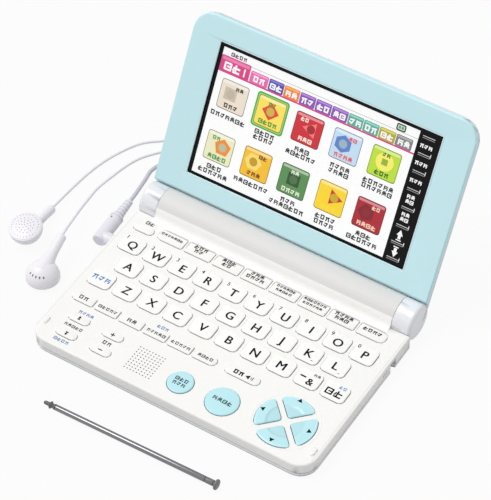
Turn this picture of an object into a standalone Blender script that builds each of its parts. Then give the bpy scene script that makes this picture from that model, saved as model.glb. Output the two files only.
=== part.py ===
"""Pocket electronic dictionary, lying open: keyboard base, touch screen lid, stylus and earphones.

The origin is the middle of the base's underside, +X to the user's right, +Y towards the hinge, +Z up.
"""

import math

import bmesh
import bpy
from mathutils import Matrix, Vector

MM = 0.001

# Fits and facets
FIT_GAP = 0.3 * MM
OVERRUN = 1.0 * MM
ROUND_END_FLAT = 0.02 * MM
CORNER_STEPS = 2
SMALL_STEPS = 12
ROUND_STEPS = 24
BARREL_STEPS = 36

# Base
WIDTH = 148.0 * MM
DEPTH = 105.5 * MM
DECK_TOP = 8.6 * MM
DECK_PLATE = 1.5 * MM
DECK_EDGE = 0.7 * MM
PART_LINE = 2.4 * MM
FLOOR = 1.4 * MM
FLOOR_EDGE = 1.0 * MM
BASE_WALL = 1.6 * MM
BASE_CORNER = 9.0 * MM
FOOT_RADIUS = 4.5 * MM
FOOT_GROOVE = 0.5 * MM
FOOT_INSET = 13.0 * MM
BUMPER_WIDTH = 2.2 * MM
BUMPER_LENGTH = 4.6 * MM
BUMPER_STAND = 0.6 * MM
BUMPER_FROM_SIDE = 3.4 * MM
BUMPER_FROM_FRONT = 10.3 * MM
HALF_WIDTH = WIDTH / 2
FRONT = -DEPTH / 2

# Hinge, its barrel sized round the cells inside it
BATTERY_RADIUS = 7.25 * MM
CELL_ROOM = 0.35 * MM
BARREL_WALL = 1.2 * MM
BARREL_RADIUS = BATTERY_RADIUS + CELL_ROOM + BARREL_WALL
KNUCKLE_ROOM = 10.4 * MM
BARREL_LENGTH = WIDTH - 2 * KNUCKLE_ROOM
BARREL_HEAD = 7.3 * MM
BARREL_LIFT = 0.1 * MM
AXIS_HEIGHT = BARREL_RADIUS + BARREL_LIFT
SWEEP_RADIUS = 4.0 * MM
PIN_RADIUS = 1.8 * MM
PIN_IN_BARREL = 5.6 * MM
PIN_IN_KNUCKLE = 7.0 * MM
PIN_CHAMFER = 0.3 * MM
KNUCKLE_LENGTH = 9.5 * MM
KNUCKLE_EDGE = 1.4 * MM
AXIS_Y = DEPTH / 2 - BARREL_RADIUS
BARREL_HALF = BARREL_LENGTH / 2
BAY_HALF = BARREL_HALF - BARREL_HEAD
SWEEP_RISE = DECK_TOP + SWEEP_RADIUS - AXIS_HEIGHT
SWEEP_BACK = math.sqrt((BARREL_RADIUS + SWEEP_RADIUS) ** 2 - SWEEP_RISE**2)

# Battery bay, its angles seen from the right, from straight back upwards
CONTACT_LENGTH = 5.65 * MM
BATTERY_LENGTH = BAY_HALF - CONTACT_LENGTH - FIT_GAP / 2
BATTERY_NUB = 1.3 * MM
BATTERY_NUB_RADIUS = 2.7 * MM
BATTERY_EDGE = 0.5 * MM
CONTACT_RADIUS = 3.5 * MM
COVER_TOP_DEG = 8.0
COVER_BOTTOM_DEG = -100.0
COVER_GRIPS = 5
GRIP_PITCH = 2.4 * MM
GRIP_RADIUS = 0.5 * MM

# Lid
OPEN_DEG = 119.4
LID_SIDE_SETBACK = 0.4 * MM
LID_WIDTH = WIDTH - 2 * LID_SIDE_SETBACK
LID_REACH = AXIS_Y - FRONT
LID_SETBACK = 0.7 * MM
BEZEL_DEPTH = 3.0 * MM
COVER_DEPTH = 2.8 * MM
BEZEL_LIP = 0.9 * MM
COVER_BACK = 1.2 * MM
LID_CORNER = 10.0 * MM
BEZEL_EDGE = 0.6 * MM
COVER_EDGE = 1.8 * MM
HEEL_ROOM = 0.6 * MM
HEEL_RADIUS = BARREL_RADIUS + HEEL_ROOM
HEEL_CHAMFER = 1.2 * MM
WINDOW_FROM_SIDE = 15.45 * MM
WINDOW_FROM_TOP = 11.1 * MM
WINDOW_FROM_HINGE = 19.6 * MM
WINDOW_WIDTH = LID_WIDTH - 2 * WINDOW_FROM_SIDE
WINDOW_HEIGHT = LID_REACH - WINDOW_FROM_TOP - WINDOW_FROM_HINGE
WINDOW_MIDDLE = WINDOW_FROM_HINGE + WINDOW_HEIGHT / 2
WINDOW_CORNER = 0.8 * MM
WINDOW_CHAMFER = 0.7 * MM
GLASS_BORDER = 1.8 * MM
GLASS_DEPTH = 1.0 * MM
PANEL_DEPTH = 2.4 * MM
PANEL_INSET = 6.0 * MM

# Keys, laid out as shares of the deck's width about its middle
# and of the flat field between its front edge and the sweep up to the barrel
FIELD = AXIS_Y - SWEEP_BACK - FRONT
KEY_STAND = 0.7 * MM
KEY_LIP = 0.6 * MM
KEY_LIP_DEPTH = 0.7 * MM
KEY_BEVEL = 0.3 * MM
COLUMN_PITCH = 0.09365 * WIDTH
ROW_PITCH = 0.14625 * FIELD
FIRST_KEY_X = -0.42568 * WIDTH
FIRST_KEY_Y = FRONT + 0.80465 * FIELD
MIDDLE_ROW_SHIFT = 0.04459 * WIDTH
LETTER_WIDTH = 0.07973 * WIDTH
LETTER_DEPTH = 0.11368 * FIELD
LETTER_CORNER = 2.2 * MM
LETTER_ROWS = (
    ("q", "w", "e", "r", "t", "y", "u", "i", "o", "p"),
    ("a", "s", "d", "f", "g", "h", "j", "k", "l"),
    ("shift", "z", "x", "c", "v", "b", "n", "m", "minus", "delete"),
)
ENTER_RADIUS = 0.09237 * FIELD
ENTER_X = 0.15135 * WIDTH
ENTER_Y = FRONT + 0.14980 * FIELD
BACK_RADIUS = 0.07224 * FIELD
BACK_X = 0.00608 * WIDTH
BACK_Y = FRONT + 0.14151 * FIELD
PAD_RADIUS = 0.16579 * FIELD
PAD_X = 0.35135 * WIDTH
PAD_Y = FRONT + 0.21138 * FIELD
PAD_RIB = 3.0 * MM
PAD_OUTER_CORNER = 1.6 * MM
PAD_INNER_CORNER = 1.4 * MM
PAD_ARC_STEPS = 8
PAD_NAMES = ("right", "up", "left", "down")

# Strips and pills, two moulded mats
STRIP_GAP = 1.4 * MM
STRIP_CORNER = 0.5 * MM
UPPER_FALL = 0.55 * MM
UPPER_COUNT = 8
UPPER_LEFT = -0.37973 * WIDTH
UPPER_PITCH = 0.10405 * WIDTH
UPPER_FRONT = FRONT + 0.91656 * FIELD
UPPER_KEY_DEPTH = 0.07816 * FIELD
UPPER_END_CORNER = 0.39394 * UPPER_KEY_DEPTH
LOWER_COUNT = 6
LOWER_LEFT = -0.46757 * WIDTH
LOWER_PITCH = 0.08919 * WIDTH
LOWER_FRONT = FRONT + 0.31914 * FIELD
LOWER_KEY_DEPTH = 0.05921 * FIELD
PILL_LENGTH = 0.07297 * WIDTH
PILL_WIDTH = 0.04974 * FIELD
POWER_X = -0.43176 * WIDTH
POWER_Y = FRONT + 0.93491 * FIELD
PAGE_X = -0.39189 * WIDTH
VOLUME_X = -0.26791 * WIDTH
PILL_UPPER_Y = FRONT + 0.21730 * FIELD
PILL_LOWER_Y = FRONT + 0.09888 * FIELD
VOICE_LENGTH = 0.12027 * WIDTH
VOICE_WIDTH = 0.05684 * FIELD
VOICE_X = 0.14865 * WIDTH
VOICE_Y = FRONT + 0.35348 * FIELD

# Speaker
GRILLE_COUNT = 9
GRILLE_PITCH = 0.01942 * FIELD
GRILLE_HOLE = 0.4 * MM
GRILLE_SIDES = 4
GRILLE_X = -0.12770 * WIDTH
GRILLE_Y = FRONT + 0.15513 * FIELD
SPEAKER_RADIUS = 0.11131 * FIELD
SPEAKER_DEPTH = 2.6 * MM
SPEAKER_MAGNET = 4.5 * MM
SPEAKER_MAGNET_DEPTH = 1.2 * MM

# Circuit board
BOARD_THICKNESS = 1.2 * MM
BOARD_LEVEL = 3.6 * MM
BOARD_MARGIN = 4.0 * MM
BOSS_RADIUS = 2.4 * MM
BOSS_INSET = 9.0 * MM
SOCKET_WIDTH = 6.0 * MM
SOCKET_LENGTH = 12.5 * MM

# Strap eye in the right side
STRAP_NOTCH_Y = FRONT + 0.86149 * FIELD
STRAP_NOTCH_LENGTH = 4.6 * MM
STRAP_NOTCH_DEPTH = 2.6 * MM
STRAP_POST = 2.6 * MM
STRAP_SLOT_LENGTH = 3.8 * MM
STRAP_SLOT_HEIGHT = 1.2 * MM
STRAP_SLOT_LEVEL = 5.4 * MM
STRAP_BLOCK = 4.0 * MM
STRAP_BLOCK_MARGIN = 1.6 * MM

# Stylus
STYLUS_X = -2.4 * MM
STYLUS_FROM_DECK = 23.45 * MM
STYLUS_Y = FRONT - STYLUS_FROM_DECK
STYLUS_TURN_DEG = 1.2
STYLUS_TUBE = 77.6 * MM
STYLUS_RADIUS = 1.4 * MM
STYLUS_BORE = 0.9 * MM
STYLUS_SPIGOT = 3.4 * MM
TIP_POINT_RADIUS = 0.5 * MM
TIP_NECK_RADIUS = 0.9 * MM
TIP_FLARE_RADIUS = 1.8 * MM
TIP_LENGTH = 6.2 * MM
TIP_POINT_LENGTH = 0.6 * MM
TIP_FLARE_AT = 4.0 * MM
TIP_FLARE_LENGTH = 0.9 * MM
COLLAR_LENGTH = 4.2 * MM
COLLAR_NECK_RADIUS = 1.0 * MM
COLLAR_NECK_LENGTH = 0.8 * MM
HEAD_RADIUS = 2.5 * MM
HEAD_THICKNESS = 1.3 * MM
HEAD_EDGE = 0.3 * MM

# Earphone plug, lying along the left side
LEAD_DIAMETER = 2.0 * MM
BRANCH_DIAMETER = 1.3 * MM
PLUG_STAND = 7.0 * MM
PLUG_X = -HALF_WIDTH - PLUG_STAND
PLUG_Y = FRONT + 0.81409 * FIELD
PLUG_LEVEL = 3.5 * MM
PLUG_SPLAY_DEG = 3.3
PLUG_RADIUS = 3.4 * MM
PLUG_BODY = 14.8 * MM
PLUG_ROUND = 1.2 * MM
PLUG_SHOULDER = 1.6 * MM
RELIEF_RADIUS = 2.4 * MM
RELIEF_END_RADIUS = 1.8 * MM
RELIEF_LENGTH = 10.4 * MM
RELIEF_RIBS = 4
RELIEF_GROOVE = 0.4 * MM
PLUG_BOSS_RADIUS = 3.2 * MM
PLUG_PIN_RADIUS = 1.75 * MM
PLUG_PIN = 11.0 * MM
PLUG_PIN_POINT = 0.9 * MM

# Cord routes on the table, in millimetres to the right of the plug and behind it
LEAD_ROUTE = ((-4.0, 41.0), (-5.2, 50.0), (-1.5, 56.6), (8.0, 57.6), (21.0, 56.4))
LEFT_ROUTE = (
    (6.0, 83.6), (-3.5, 76.0), (-11.5, 68.8), (-19.1, 62.6),
    (-24.2, 53.7), (-28.6, 41.0), (-30.9, 25.0),
)
RIGHT_ROUTE = (
    (8.5, 79.8), (-1.0, 70.6), (-8.6, 61.6),
    (-15.4, 51.7), (-19.2, 37.0), (-20.6, 18.9),
)

# Spare lead, wound behind the lid
COIL_FROM_PLUG = 41.0 * MM
COIL_X = PLUG_X + COIL_FROM_PLUG
COIL_BEHIND_BASE = 37.25 * MM
COIL_Y = DEPTH / 2 + COIL_BEHIND_BASE
COIL_MEAN_RADIUS = 12.0 * MM
COIL_TURNS = 9.5
COIL_PITCH = 2.6 * MM
COIL_RADIUS = COIL_MEAN_RADIUS + COIL_PITCH * COIL_TURNS / 4
COIL_LAYER = 2.5 * MM
COIL_POINTS = 18
COIL_START_DEG = 270.0
COIL_STUB = 10.0 * MM
SPLITTER_LENGTH = 10.0 * MM
SPLITTER_RADIUS = 2.1 * MM
SPLITTER_EDGE = 0.6 * MM
BRANCH_SPREAD = 0.95 * MM
TABLE_LIFT = 0.1 * MM

# Earpieces
BUD_RADIUS = 8.1 * MM
BUD_BACK_DEPTH = 8.0 * MM
BUD_FACE_DEPTH = 2.2 * MM
BUD_TILT_DEG = 15.0
BUD_STEPS = 20
BUD_STEM = 21.0 * MM
BUD_STEM_RADIUS = 2.4 * MM
BUD_STEM_END_RADIUS = 2.3 * MM
BUD_STEM_SINK = 3.6 * MM
BUD_FLARE = 2.3 * MM
BUD_PROFILE_SHARES = (
    (-1.0, 0.30), (-0.86, 0.60), (-0.45, 0.90), (-0.12, 0.99), (0.20, 1.0),
    (0.50, 0.96), (0.82, 0.78), (0.97, 0.45), (1.0, 0.18),
)
FIRST_BUD_X = PLUG_X - 30.7 * MM
FIRST_BUD_Y = PLUG_Y - 17.7 * MM
FIRST_BUD_LEVEL = 8.4 * MM
FIRST_STEM_DROP_DEG = 5.2
FIRST_STEM_HEADING_DEG = 90.0
SECOND_BUD_X = PLUG_X - 9.5 * MM
SECOND_BUD_Y = PLUG_Y - 34.1 * MM
SECOND_BUD_LEVEL = 2.8 * MM
SECOND_STEM_DROP_DEG = -12.0
SECOND_STEM_HEADING_DEG = 97.0

# Places worked out from the sizes above
BORE_RADIUS = BARREL_RADIUS - BARREL_WALL
REAR_AT_KNUCKLES = AXIS_Y - BARREL_RADIUS - FIT_GAP
CAVITY_REAR = REAR_AT_KNUCKLES - BARREL_WALL
PLATE_UNDER = DECK_TOP - DECK_PLATE
LIP_TOP = -DECK_PLATE - FIT_GAP
LIP_BOTTOM = LIP_TOP - KEY_LIP_DEPTH
KNUCKLE_START = BARREL_HALF + FIT_GAP
KNUCKLE_END = KNUCKLE_START + KNUCKLE_LENGTH
BEZEL_FACE = -LID_SETBACK
BEZEL_BACK = BEZEL_FACE - BEZEL_DEPTH
COVER_FRONT = BEZEL_BACK - FIT_GAP
COVER_REAR = COVER_FRONT - COVER_DEPTH
GLASS_FACE = BEZEL_FACE - BEZEL_LIP - FIT_GAP
BATTERY_REACH = BATTERY_LENGTH + FIT_GAP / 2
LEAD_LEVEL = LEAD_DIAMETER / 2 + TABLE_LIFT
BRANCH_LEVEL = BRANCH_DIAMETER / 2 + TABLE_LIFT
COIL_REST = LEAD_LEVEL
COIL_TOP = COIL_REST + COIL_LAYER
SPLITTER_LEVEL = SPLITTER_RADIUS + TABLE_LIFT
STYLUS_LEVEL = HEAD_RADIUS + TABLE_LIFT
ALONG_X = Matrix.Rotation(math.pi / 2, 4, "Y")


def clear_scene():
    for thing in list(bpy.data.objects):
        bpy.data.objects.remove(thing)


def material(name, colour, roughness, metallic=0.0):
    made = bpy.data.materials.new(name)
    made.use_nodes = True
    shader = made.node_tree.nodes["Principled BSDF"]
    shader.inputs["Base Color"].default_value = (*colour, 1.0)
    shader.inputs["Roughness"].default_value = roughness
    shader.inputs["Metallic"].default_value = metallic
    return made


def make_materials():
    return {
        "warm_white": material("warm_white", (0.94, 0.93, 0.90), 0.35),
        "cool_white": material("cool_white", (0.82, 0.83, 0.87), 0.30),
        "light_blue": material("light_blue", (0.54, 0.82, 0.86), 0.30),
        "key_white": material("key_white", (0.95, 0.95, 0.94), 0.45),
        "glass": material("glass", (0.02, 0.02, 0.02), 0.10),
        "board": material("board", (0.04, 0.22, 0.10), 0.55),
        "dark": material("dark", (0.08, 0.08, 0.09), 0.50),
        "battery": material("battery", (0.10, 0.10, 0.11), 0.35),
        "steel": material("steel", (0.72, 0.72, 0.74), 0.22, 1.0),
        "grey": material("grey", (0.14, 0.14, 0.15), 0.40),
        "lavender": material("lavender", (0.86, 0.84, 0.90), 0.40),
    }


# Outlines: lists of plane points, anticlockwise


def arc(middle, radius, start_deg, end_deg, steps):
    """Points along a round stretch, both ends included."""
    points = []
    for i in range(steps + 1):
        turn = math.radians(start_deg + (end_deg - start_deg) * i / steps)
        points.append((middle[0] + radius * math.cos(turn), middle[1] + radius * math.sin(turn)))
    return points


def circle(radius, steps=ROUND_STEPS, middle=(0, 0)):
    return arc(middle, radius, 0, 360, steps)[:-1]


def rounded_box(left, right, front, rear, corners, grow=0.0, steps=CORNER_STEPS):
    """A rectangle grown all round; corners are radii at rear right, rear left, front left, front right.

    The smallest corners take a single facet.
    """
    left, right, front, rear = left - grow, right + grow, front - grow, rear + grow
    places = (
        (right, rear, -1, -1, 0),
        (left, rear, 1, -1, 90),
        (left, front, 1, 1, 180),
        (right, front, -1, 1, 270),
    )
    points = []
    for (x, y, inward_x, inward_y, turn), corner in zip(places, corners):
        if corner == 0:
            points.append((x, y))
            continue
        radius = corner + grow
        middle = (x + inward_x * radius, y + inward_y * radius)
        points += arc(middle, radius, turn, turn + 90, 1 if corner <= STRIP_CORNER else steps)
    return points


def box_outline(left, right, front, rear):
    return rounded_box(left, right, front, rear, (0, 0, 0, 0))


def letter_outline(grow=0.0):
    half, deep = LETTER_WIDTH / 2, LETTER_DEPTH / 2
    return rounded_box(-half, half, -deep, deep, (LETTER_CORNER,) * 4, grow)


def pill_outline(x, y, length, width, grow=0.0):
    corner = (width - ROUND_END_FLAT) / 2
    return rounded_box(
        x - length / 2, x + length / 2, y - width / 2, y + width / 2, (corner,) * 4, grow
    )


def pad_outline(grow=0.0):
    """One quarter of the direction pad, pointing along +X, its corners rounded."""
    rim, edge = PAD_RADIUS + grow, PAD_RIB / 2 - grow
    outer, inner = PAD_OUTER_CORNER + grow, PAD_INNER_CORNER + grow
    rise = edge + outer
    along = math.sqrt((rim - outer) ** 2 - rise**2)
    spread = 45 - math.degrees(math.atan2(rise, along))
    reach = math.hypot(along, rise)
    turn = math.radians(spread)
    lower = (reach * math.cos(turn), -reach * math.sin(turn))
    upper = (lower[0], -lower[1])
    nose = ((edge + inner) * math.sqrt(2), 0)
    return (
        arc(nose, inner, 135, 225, CORNER_STEPS)
        + arc(lower, outer, -135, -spread, CORNER_STEPS)
        + arc((0, 0), rim, -spread, spread, PAD_ARC_STEPS)[1:-1]
        + arc(upper, outer, spread, 135, CORNER_STEPS)
    )


# Meshes


def raised(outline, level):
    return [(x, y, level) for x, y in outline]


def loft(rings):
    """A closed mesh through rings of equal length, each anticlockwise as seen from the last one's side."""
    shape = bmesh.new()
    loops = [[shape.verts.new(point) for point in ring] for ring in rings]
    shape.faces.new(list(reversed(loops[0])))
    shape.faces.new(loops[-1])
    count = len(loops[0])
    for low, high in zip(loops, loops[1:]):
        for i in range(count):
            after = (i + 1) % count
            shape.faces.new((low[i], low[after], high[after], high[i]))
    mesh = bpy.data.meshes.new("loft")
    shape.to_mesh(mesh)
    shape.free()
    return mesh


def prism(outline, low, high):
    return loft([raised(outline, low), raised(outline, high)])


def prism_across(outline, left, right):
    """A profile in the plane of Y and Z, extruded along X."""
    return loft([[(x, y, z) for y, z in outline] for x in (left, right)])


def turned(profile, steps=ROUND_STEPS):
    """A solid turned about Z through (height, radius) pairs, lowest first."""
    return loft([raised(circle(radius, steps), height) for height, radius in profile])


def placed(mesh, matrix):
    mesh.transform(matrix)
    return mesh


def rod_across(radius, left, right, y, z, steps=ROUND_STEPS):
    rod = turned(((left, radius), (right, radius)), steps)
    return placed(rod, Matrix.Translation((0, y, z)) @ ALONG_X)


def joined(meshes):
    """Several separate closed meshes as one, for a single cut or union."""
    shape = bmesh.new()
    for mesh in meshes:
        shape.from_mesh(mesh)
    made = bpy.data.meshes.new("joined")
    shape.to_mesh(made)
    shape.free()
    return made


def boolean(base, tool, operation):
    """The base's mesh with the tool's cut away or added."""
    body = bpy.data.objects.new("base", base)
    other = bpy.data.objects.new("tool", tool)
    for thing in (body, other):
        bpy.context.collection.objects.link(thing)
    step = body.modifiers.new("step", "BOOLEAN")
    step.operation = operation
    step.object = other
    bpy.context.view_layer.update()
    graph = bpy.context.evaluated_depsgraph_get()
    made = bpy.data.meshes.new_from_object(body.evaluated_get(graph))
    for thing in (body, other):
        bpy.data.objects.remove(thing)
    return made


def cut(base, *tools):
    return boolean(base, joined(tools), "DIFFERENCE")


def fused(base, *tools):
    return boolean(base, joined(tools), "UNION")


def mirrored(make):
    """The same piece on both sides, from a function of the side's sign."""
    return [make(side) for side in (-1, 1)]


def add(name, mesh, look, location=(0, 0, 0), parent=None, sharp_deg=35.0):
    if not mesh.materials:
        mesh.materials.append(look)
    mesh.materials[0] = look
    mesh.shade_smooth()
    mesh.set_sharp_from_angle(angle=math.radians(sharp_deg))
    made = bpy.data.objects.new(name, mesh)
    bpy.context.collection.objects.link(made)
    made.location = location
    made.parent = parent
    return made


def empty(name, matrix):
    made = bpy.data.objects.new(name, None)
    bpy.context.collection.objects.link(made)
    made.matrix_world = matrix
    return made


# Keys, modelled about the deck's top at their own middle


def keycap(outline):
    """A key with the lip that keeps it under the deck's plate and a softened top edge."""
    steps = (
        (LIP_BOTTOM, KEY_LIP),
        (LIP_TOP, KEY_LIP),
        (LIP_TOP, 0.0),
        (KEY_STAND - KEY_BEVEL, 0.0),
        (KEY_STAND, -KEY_BEVEL),
    )
    return loft([raised(outline(grow), level) for level, grow in steps])


def mat_key(outline, fall=0.0):
    """A key of a mat, its top falling towards the rear by the given amount."""
    ys = [y for _, y in outline(0.0)]
    front, deep = min(ys), max(ys) - min(ys)
    rings = [raised(outline(0.0), LIP_BOTTOM + KEY_LIP_DEPTH / 2)]
    for level, grow in ((KEY_STAND - KEY_BEVEL, 0.0), (KEY_STAND, -KEY_BEVEL)):
        rings.append([(x, y, level - fall * (y - front) / deep) for x, y in outline(grow)])
    return loft(rings)


def key_hole(outline, x=0.0, y=0.0):
    hole = prism(outline(FIT_GAP), PLATE_UNDER - OVERRUN, DECK_TOP + OVERRUN)
    return placed(hole, Matrix.Translation((x, y, 0)))


def letter_places():
    """The name and middle of each key of the three letter rows."""
    shifts = (0.0, MIDDLE_ROW_SHIFT, 0.0)
    for row, (names, shift) in enumerate(zip(LETTER_ROWS, shifts)):
        for column, name in enumerate(names):
            yield name, FIRST_KEY_X + shift + column * COLUMN_PITCH, FIRST_KEY_Y - row * ROW_PITCH


def round_outline(radius):
    return lambda grow=0.0: circle(radius + grow)


def strip_outlines(left, pitch, count, front, depth, end_corner):
    """The keys of a strip as outline functions, the two end keys rounded on their outer side."""
    outlines = []
    for i in range(count):
        near = end_corner if i == 0 else STRIP_CORNER
        far = end_corner if i == count - 1 else STRIP_CORNER
        key_left = left + i * pitch
        key_right = key_left + pitch - STRIP_GAP
        outlines.append(
            lambda grow=0.0, a=key_left, b=key_right, n=near, f=far: rounded_box(
                a, b, front, front + depth, (f, n, n, f), grow
            )
        )
    return outlines


def pill(x, y, length=PILL_LENGTH, width=PILL_WIDTH):
    return lambda grow=0.0: pill_outline(x, y, length, width, grow)


def upper_outlines():
    keys = strip_outlines(
        UPPER_LEFT, UPPER_PITCH, UPPER_COUNT, UPPER_FRONT, UPPER_KEY_DEPTH, UPPER_END_CORNER
    )
    return keys + [pill(POWER_X, POWER_Y)]


def lower_outlines():
    end_corner = (LOWER_KEY_DEPTH - ROUND_END_FLAT) / 2
    keys = strip_outlines(LOWER_LEFT, LOWER_PITCH, LOWER_COUNT, LOWER_FRONT, LOWER_KEY_DEPTH, end_corner)
    pills = [pill(x, y) for x in (PAGE_X, VOLUME_X) for y in (PILL_UPPER_Y, PILL_LOWER_Y)]
    return keys + pills + [pill(VOICE_X, VOICE_Y, VOICE_LENGTH, VOICE_WIDTH)]


def bounds(outlines):
    points = [point for outline in outlines for point in outline(KEY_LIP)]
    xs, ys = zip(*points)
    return min(xs), max(xs), min(ys), max(ys)


def web(outlines):
    """The sheet under one group of a mat's keys."""
    return prism(box_outline(*bounds(outlines)), LIP_BOTTOM, LIP_TOP)


def upper_mat():
    keys = upper_outlines()
    falls = [UPPER_FALL] * UPPER_COUNT + [0.0]
    return fused(web(keys), *[mat_key(outline, fall) for outline, fall in zip(keys, falls)])


def lower_mat():
    keys = lower_outlines()
    strip, page, volume, voice = keys[:LOWER_COUNT], keys[-5:-3], keys[-3:-1], keys[-1:]
    sheet = web(strip + voice)
    for group in (page, volume):
        left, right, front, _ = bounds(group)
        _, _, _, rear = bounds(strip)
        leg = prism(box_outline(left, right, front, rear - KEY_LIP), LIP_BOTTOM, LIP_TOP)
        sheet = fused(sheet, leg)
    return fused(sheet, *[mat_key(outline) for outline in keys])


def make_keys(looks):
    letter = keycap(letter_outline)
    for name, x, y in letter_places():
        add("key_" + name, letter, looks["key_white"], (x, y, DECK_TOP))
    add("key_enter", keycap(round_outline(ENTER_RADIUS)), looks["light_blue"], (ENTER_X, ENTER_Y, DECK_TOP))
    add("key_back", keycap(round_outline(BACK_RADIUS)), looks["light_blue"], (BACK_X, BACK_Y, DECK_TOP))
    quarter = keycap(pad_outline)
    for turn, name in enumerate(PAD_NAMES):
        key = add("key_" + name, quarter, looks["light_blue"], (PAD_X, PAD_Y, DECK_TOP))
        key.rotation_euler.z = turn * math.pi / 2
    add("upper_key_mat", upper_mat(), looks["key_white"], (0, 0, DECK_TOP))
    add("lower_key_mat", lower_mat(), looks["key_white"], (0, 0, DECK_TOP))


# Base


def base_ring(level, inset, rear):
    corners = (0, 0, BASE_CORNER, BASE_CORNER)
    return raised(
        rounded_box(
            -HALF_WIDTH, HALF_WIDTH, FRONT, rear + inset, corners, -inset, CORNER_STEPS * 3
        ),
        level,
    )


def knuckle_room():
    """The two rear corners of the base, taken out for the lid's knuckles."""
    return mirrored(
        lambda side: prism(
            box_outline(
                *sorted((side * BARREL_HALF, side * (HALF_WIDTH + OVERRUN))),
                REAR_AT_KNUCKLES,
                DEPTH / 2 + OVERRUN,
            ),
            -OVERRUN,
            DECK_TOP + OVERRUN,
        )
    )


def bay_bore():
    """The room for two cells end to end, with a contact boss left standing at each end."""
    boss = BATTERY_REACH + BATTERY_NUB / 2
    profile = (
        (-boss, CONTACT_RADIUS),
        (-BAY_HALF, CONTACT_RADIUS),
        (-BAY_HALF, BORE_RADIUS),
        (BAY_HALF, BORE_RADIUS),
        (BAY_HALF, CONTACT_RADIUS),
        (boss, CONTACT_RADIUS),
    )
    return placed(turned(profile, BARREL_STEPS), Matrix.Translation((0, AXIS_Y, AXIS_HEIGHT)) @ ALONG_X)


def pin_bore(side):
    inner = BARREL_HALF - PIN_IN_BARREL - FIT_GAP
    ends = sorted((side * inner, side * (BARREL_HALF + OVERRUN)))
    return rod_across(PIN_RADIUS + FIT_GAP, *ends, AXIS_Y, AXIS_HEIGHT)


def jack_bore():
    return rod_across(
        PLUG_PIN_RADIUS + FIT_GAP,
        -HALF_WIDTH - OVERRUN,
        -HALF_WIDTH + SOCKET_LENGTH + BASE_WALL,
        PLUG_Y,
        PLUG_LEVEL,
    )


def strap_notch():
    outline = rounded_box(
        HALF_WIDTH - STRAP_NOTCH_DEPTH,
        HALF_WIDTH + OVERRUN,
        STRAP_NOTCH_Y - STRAP_NOTCH_LENGTH / 2,
        STRAP_NOTCH_Y + STRAP_NOTCH_LENGTH / 2,
        (0, STRAP_NOTCH_DEPTH / 2, STRAP_NOTCH_DEPTH / 2, 0),
    )
    return prism(outline, -OVERRUN, PLATE_UNDER)


def strap_slot():
    """The slit in the side and the passage behind the post, which opens into the notch."""
    post_rear = STRAP_NOTCH_Y - STRAP_NOTCH_LENGTH / 2
    post_front = post_rear - STRAP_POST
    inner = HALF_WIDTH - STRAP_NOTCH_DEPTH
    low, high = STRAP_SLOT_LEVEL - STRAP_SLOT_HEIGHT / 2, STRAP_SLOT_LEVEL + STRAP_SLOT_HEIGHT / 2
    behind = inner + STRAP_SLOT_HEIGHT
    outline = (
        (inner, post_front - STRAP_SLOT_LENGTH),
        (HALF_WIDTH + OVERRUN, post_front - STRAP_SLOT_LENGTH),
        (HALF_WIDTH + OVERRUN, post_front),
        (behind, post_front),
        (behind, STRAP_NOTCH_Y),
        (inner, STRAP_NOTCH_Y),
    )
    return prism(outline, low, high)


def strap_block(low, high):
    """The solid that keeps the strap eye apart from the inside of the base."""
    front = STRAP_NOTCH_Y - STRAP_NOTCH_LENGTH / 2 - STRAP_POST - STRAP_SLOT_LENGTH - STRAP_BLOCK_MARGIN
    rear = STRAP_NOTCH_Y + STRAP_NOTCH_LENGTH / 2 + STRAP_BLOCK_MARGIN
    wall = HALF_WIDTH - BASE_WALL / 2
    return prism(box_outline(HALF_WIDTH - STRAP_BLOCK, wall, front, rear), low, high)


def sweep():
    """The hollow curve that carries the deck up into the barrel."""
    middle = (AXIS_Y - SWEEP_BACK, DECK_TOP + SWEEP_RADIUS)
    touch = -math.degrees(math.atan2(SWEEP_RISE, SWEEP_BACK))
    curve = arc(middle, SWEEP_RADIUS, -90, touch, CORNER_STEPS * 3)
    inside = [(AXIS_Y, AXIS_HEIGHT), (AXIS_Y, PLATE_UNDER), (AXIS_Y - SWEEP_BACK, PLATE_UNDER)]
    return prism_across(list(reversed(curve + inside)), -BARREL_HALF, BARREL_HALF)


def cover_room():
    """What the battery cover and the bottom case fill of the barrel."""
    far = BARREL_RADIUS + OVERRUN
    seam = math.radians(COVER_TOP_DEG) + FIT_GAP / BARREL_RADIUS
    low = PART_LINE + FIT_GAP
    outline = (
        (AXIS_Y, AXIS_HEIGHT),
        (AXIS_Y, low),
        (AXIS_Y - far, low),
        (AXIS_Y - far, -OVERRUN),
        (AXIS_Y + far, -OVERRUN),
        (AXIS_Y + far, AXIS_HEIGHT + far * math.tan(seam)),
    )
    return prism_across(outline, -BAY_HALF, BAY_HALF)


def grille():
    holes = []
    first = -(GRILLE_COUNT - 1) / 2 * GRILLE_PITCH
    for i in range(GRILLE_COUNT):
        for j in range(GRILLE_COUNT):
            middle = (GRILLE_X + first + i * GRILLE_PITCH, GRILLE_Y + first + j * GRILLE_PITCH)
            hole = circle(GRILLE_HOLE, GRILLE_SIDES, middle)
            holes.append(prism(hole, PLATE_UNDER - OVERRUN, DECK_TOP + OVERRUN))
    return holes


def bumper(side):
    middle = side * (HALF_WIDTH - BUMPER_FROM_SIDE)
    front = FRONT + BUMPER_FROM_FRONT
    outline = rounded_box(
        middle - BUMPER_WIDTH / 2,
        middle + BUMPER_WIDTH / 2,
        front - BUMPER_LENGTH / 2,
        front + BUMPER_LENGTH / 2,
        ((BUMPER_WIDTH - ROUND_END_FLAT) / 2,) * 4,
    )
    return prism(outline, PLATE_UNDER + DECK_PLATE / 2, DECK_TOP + BUMPER_STAND)


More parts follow.
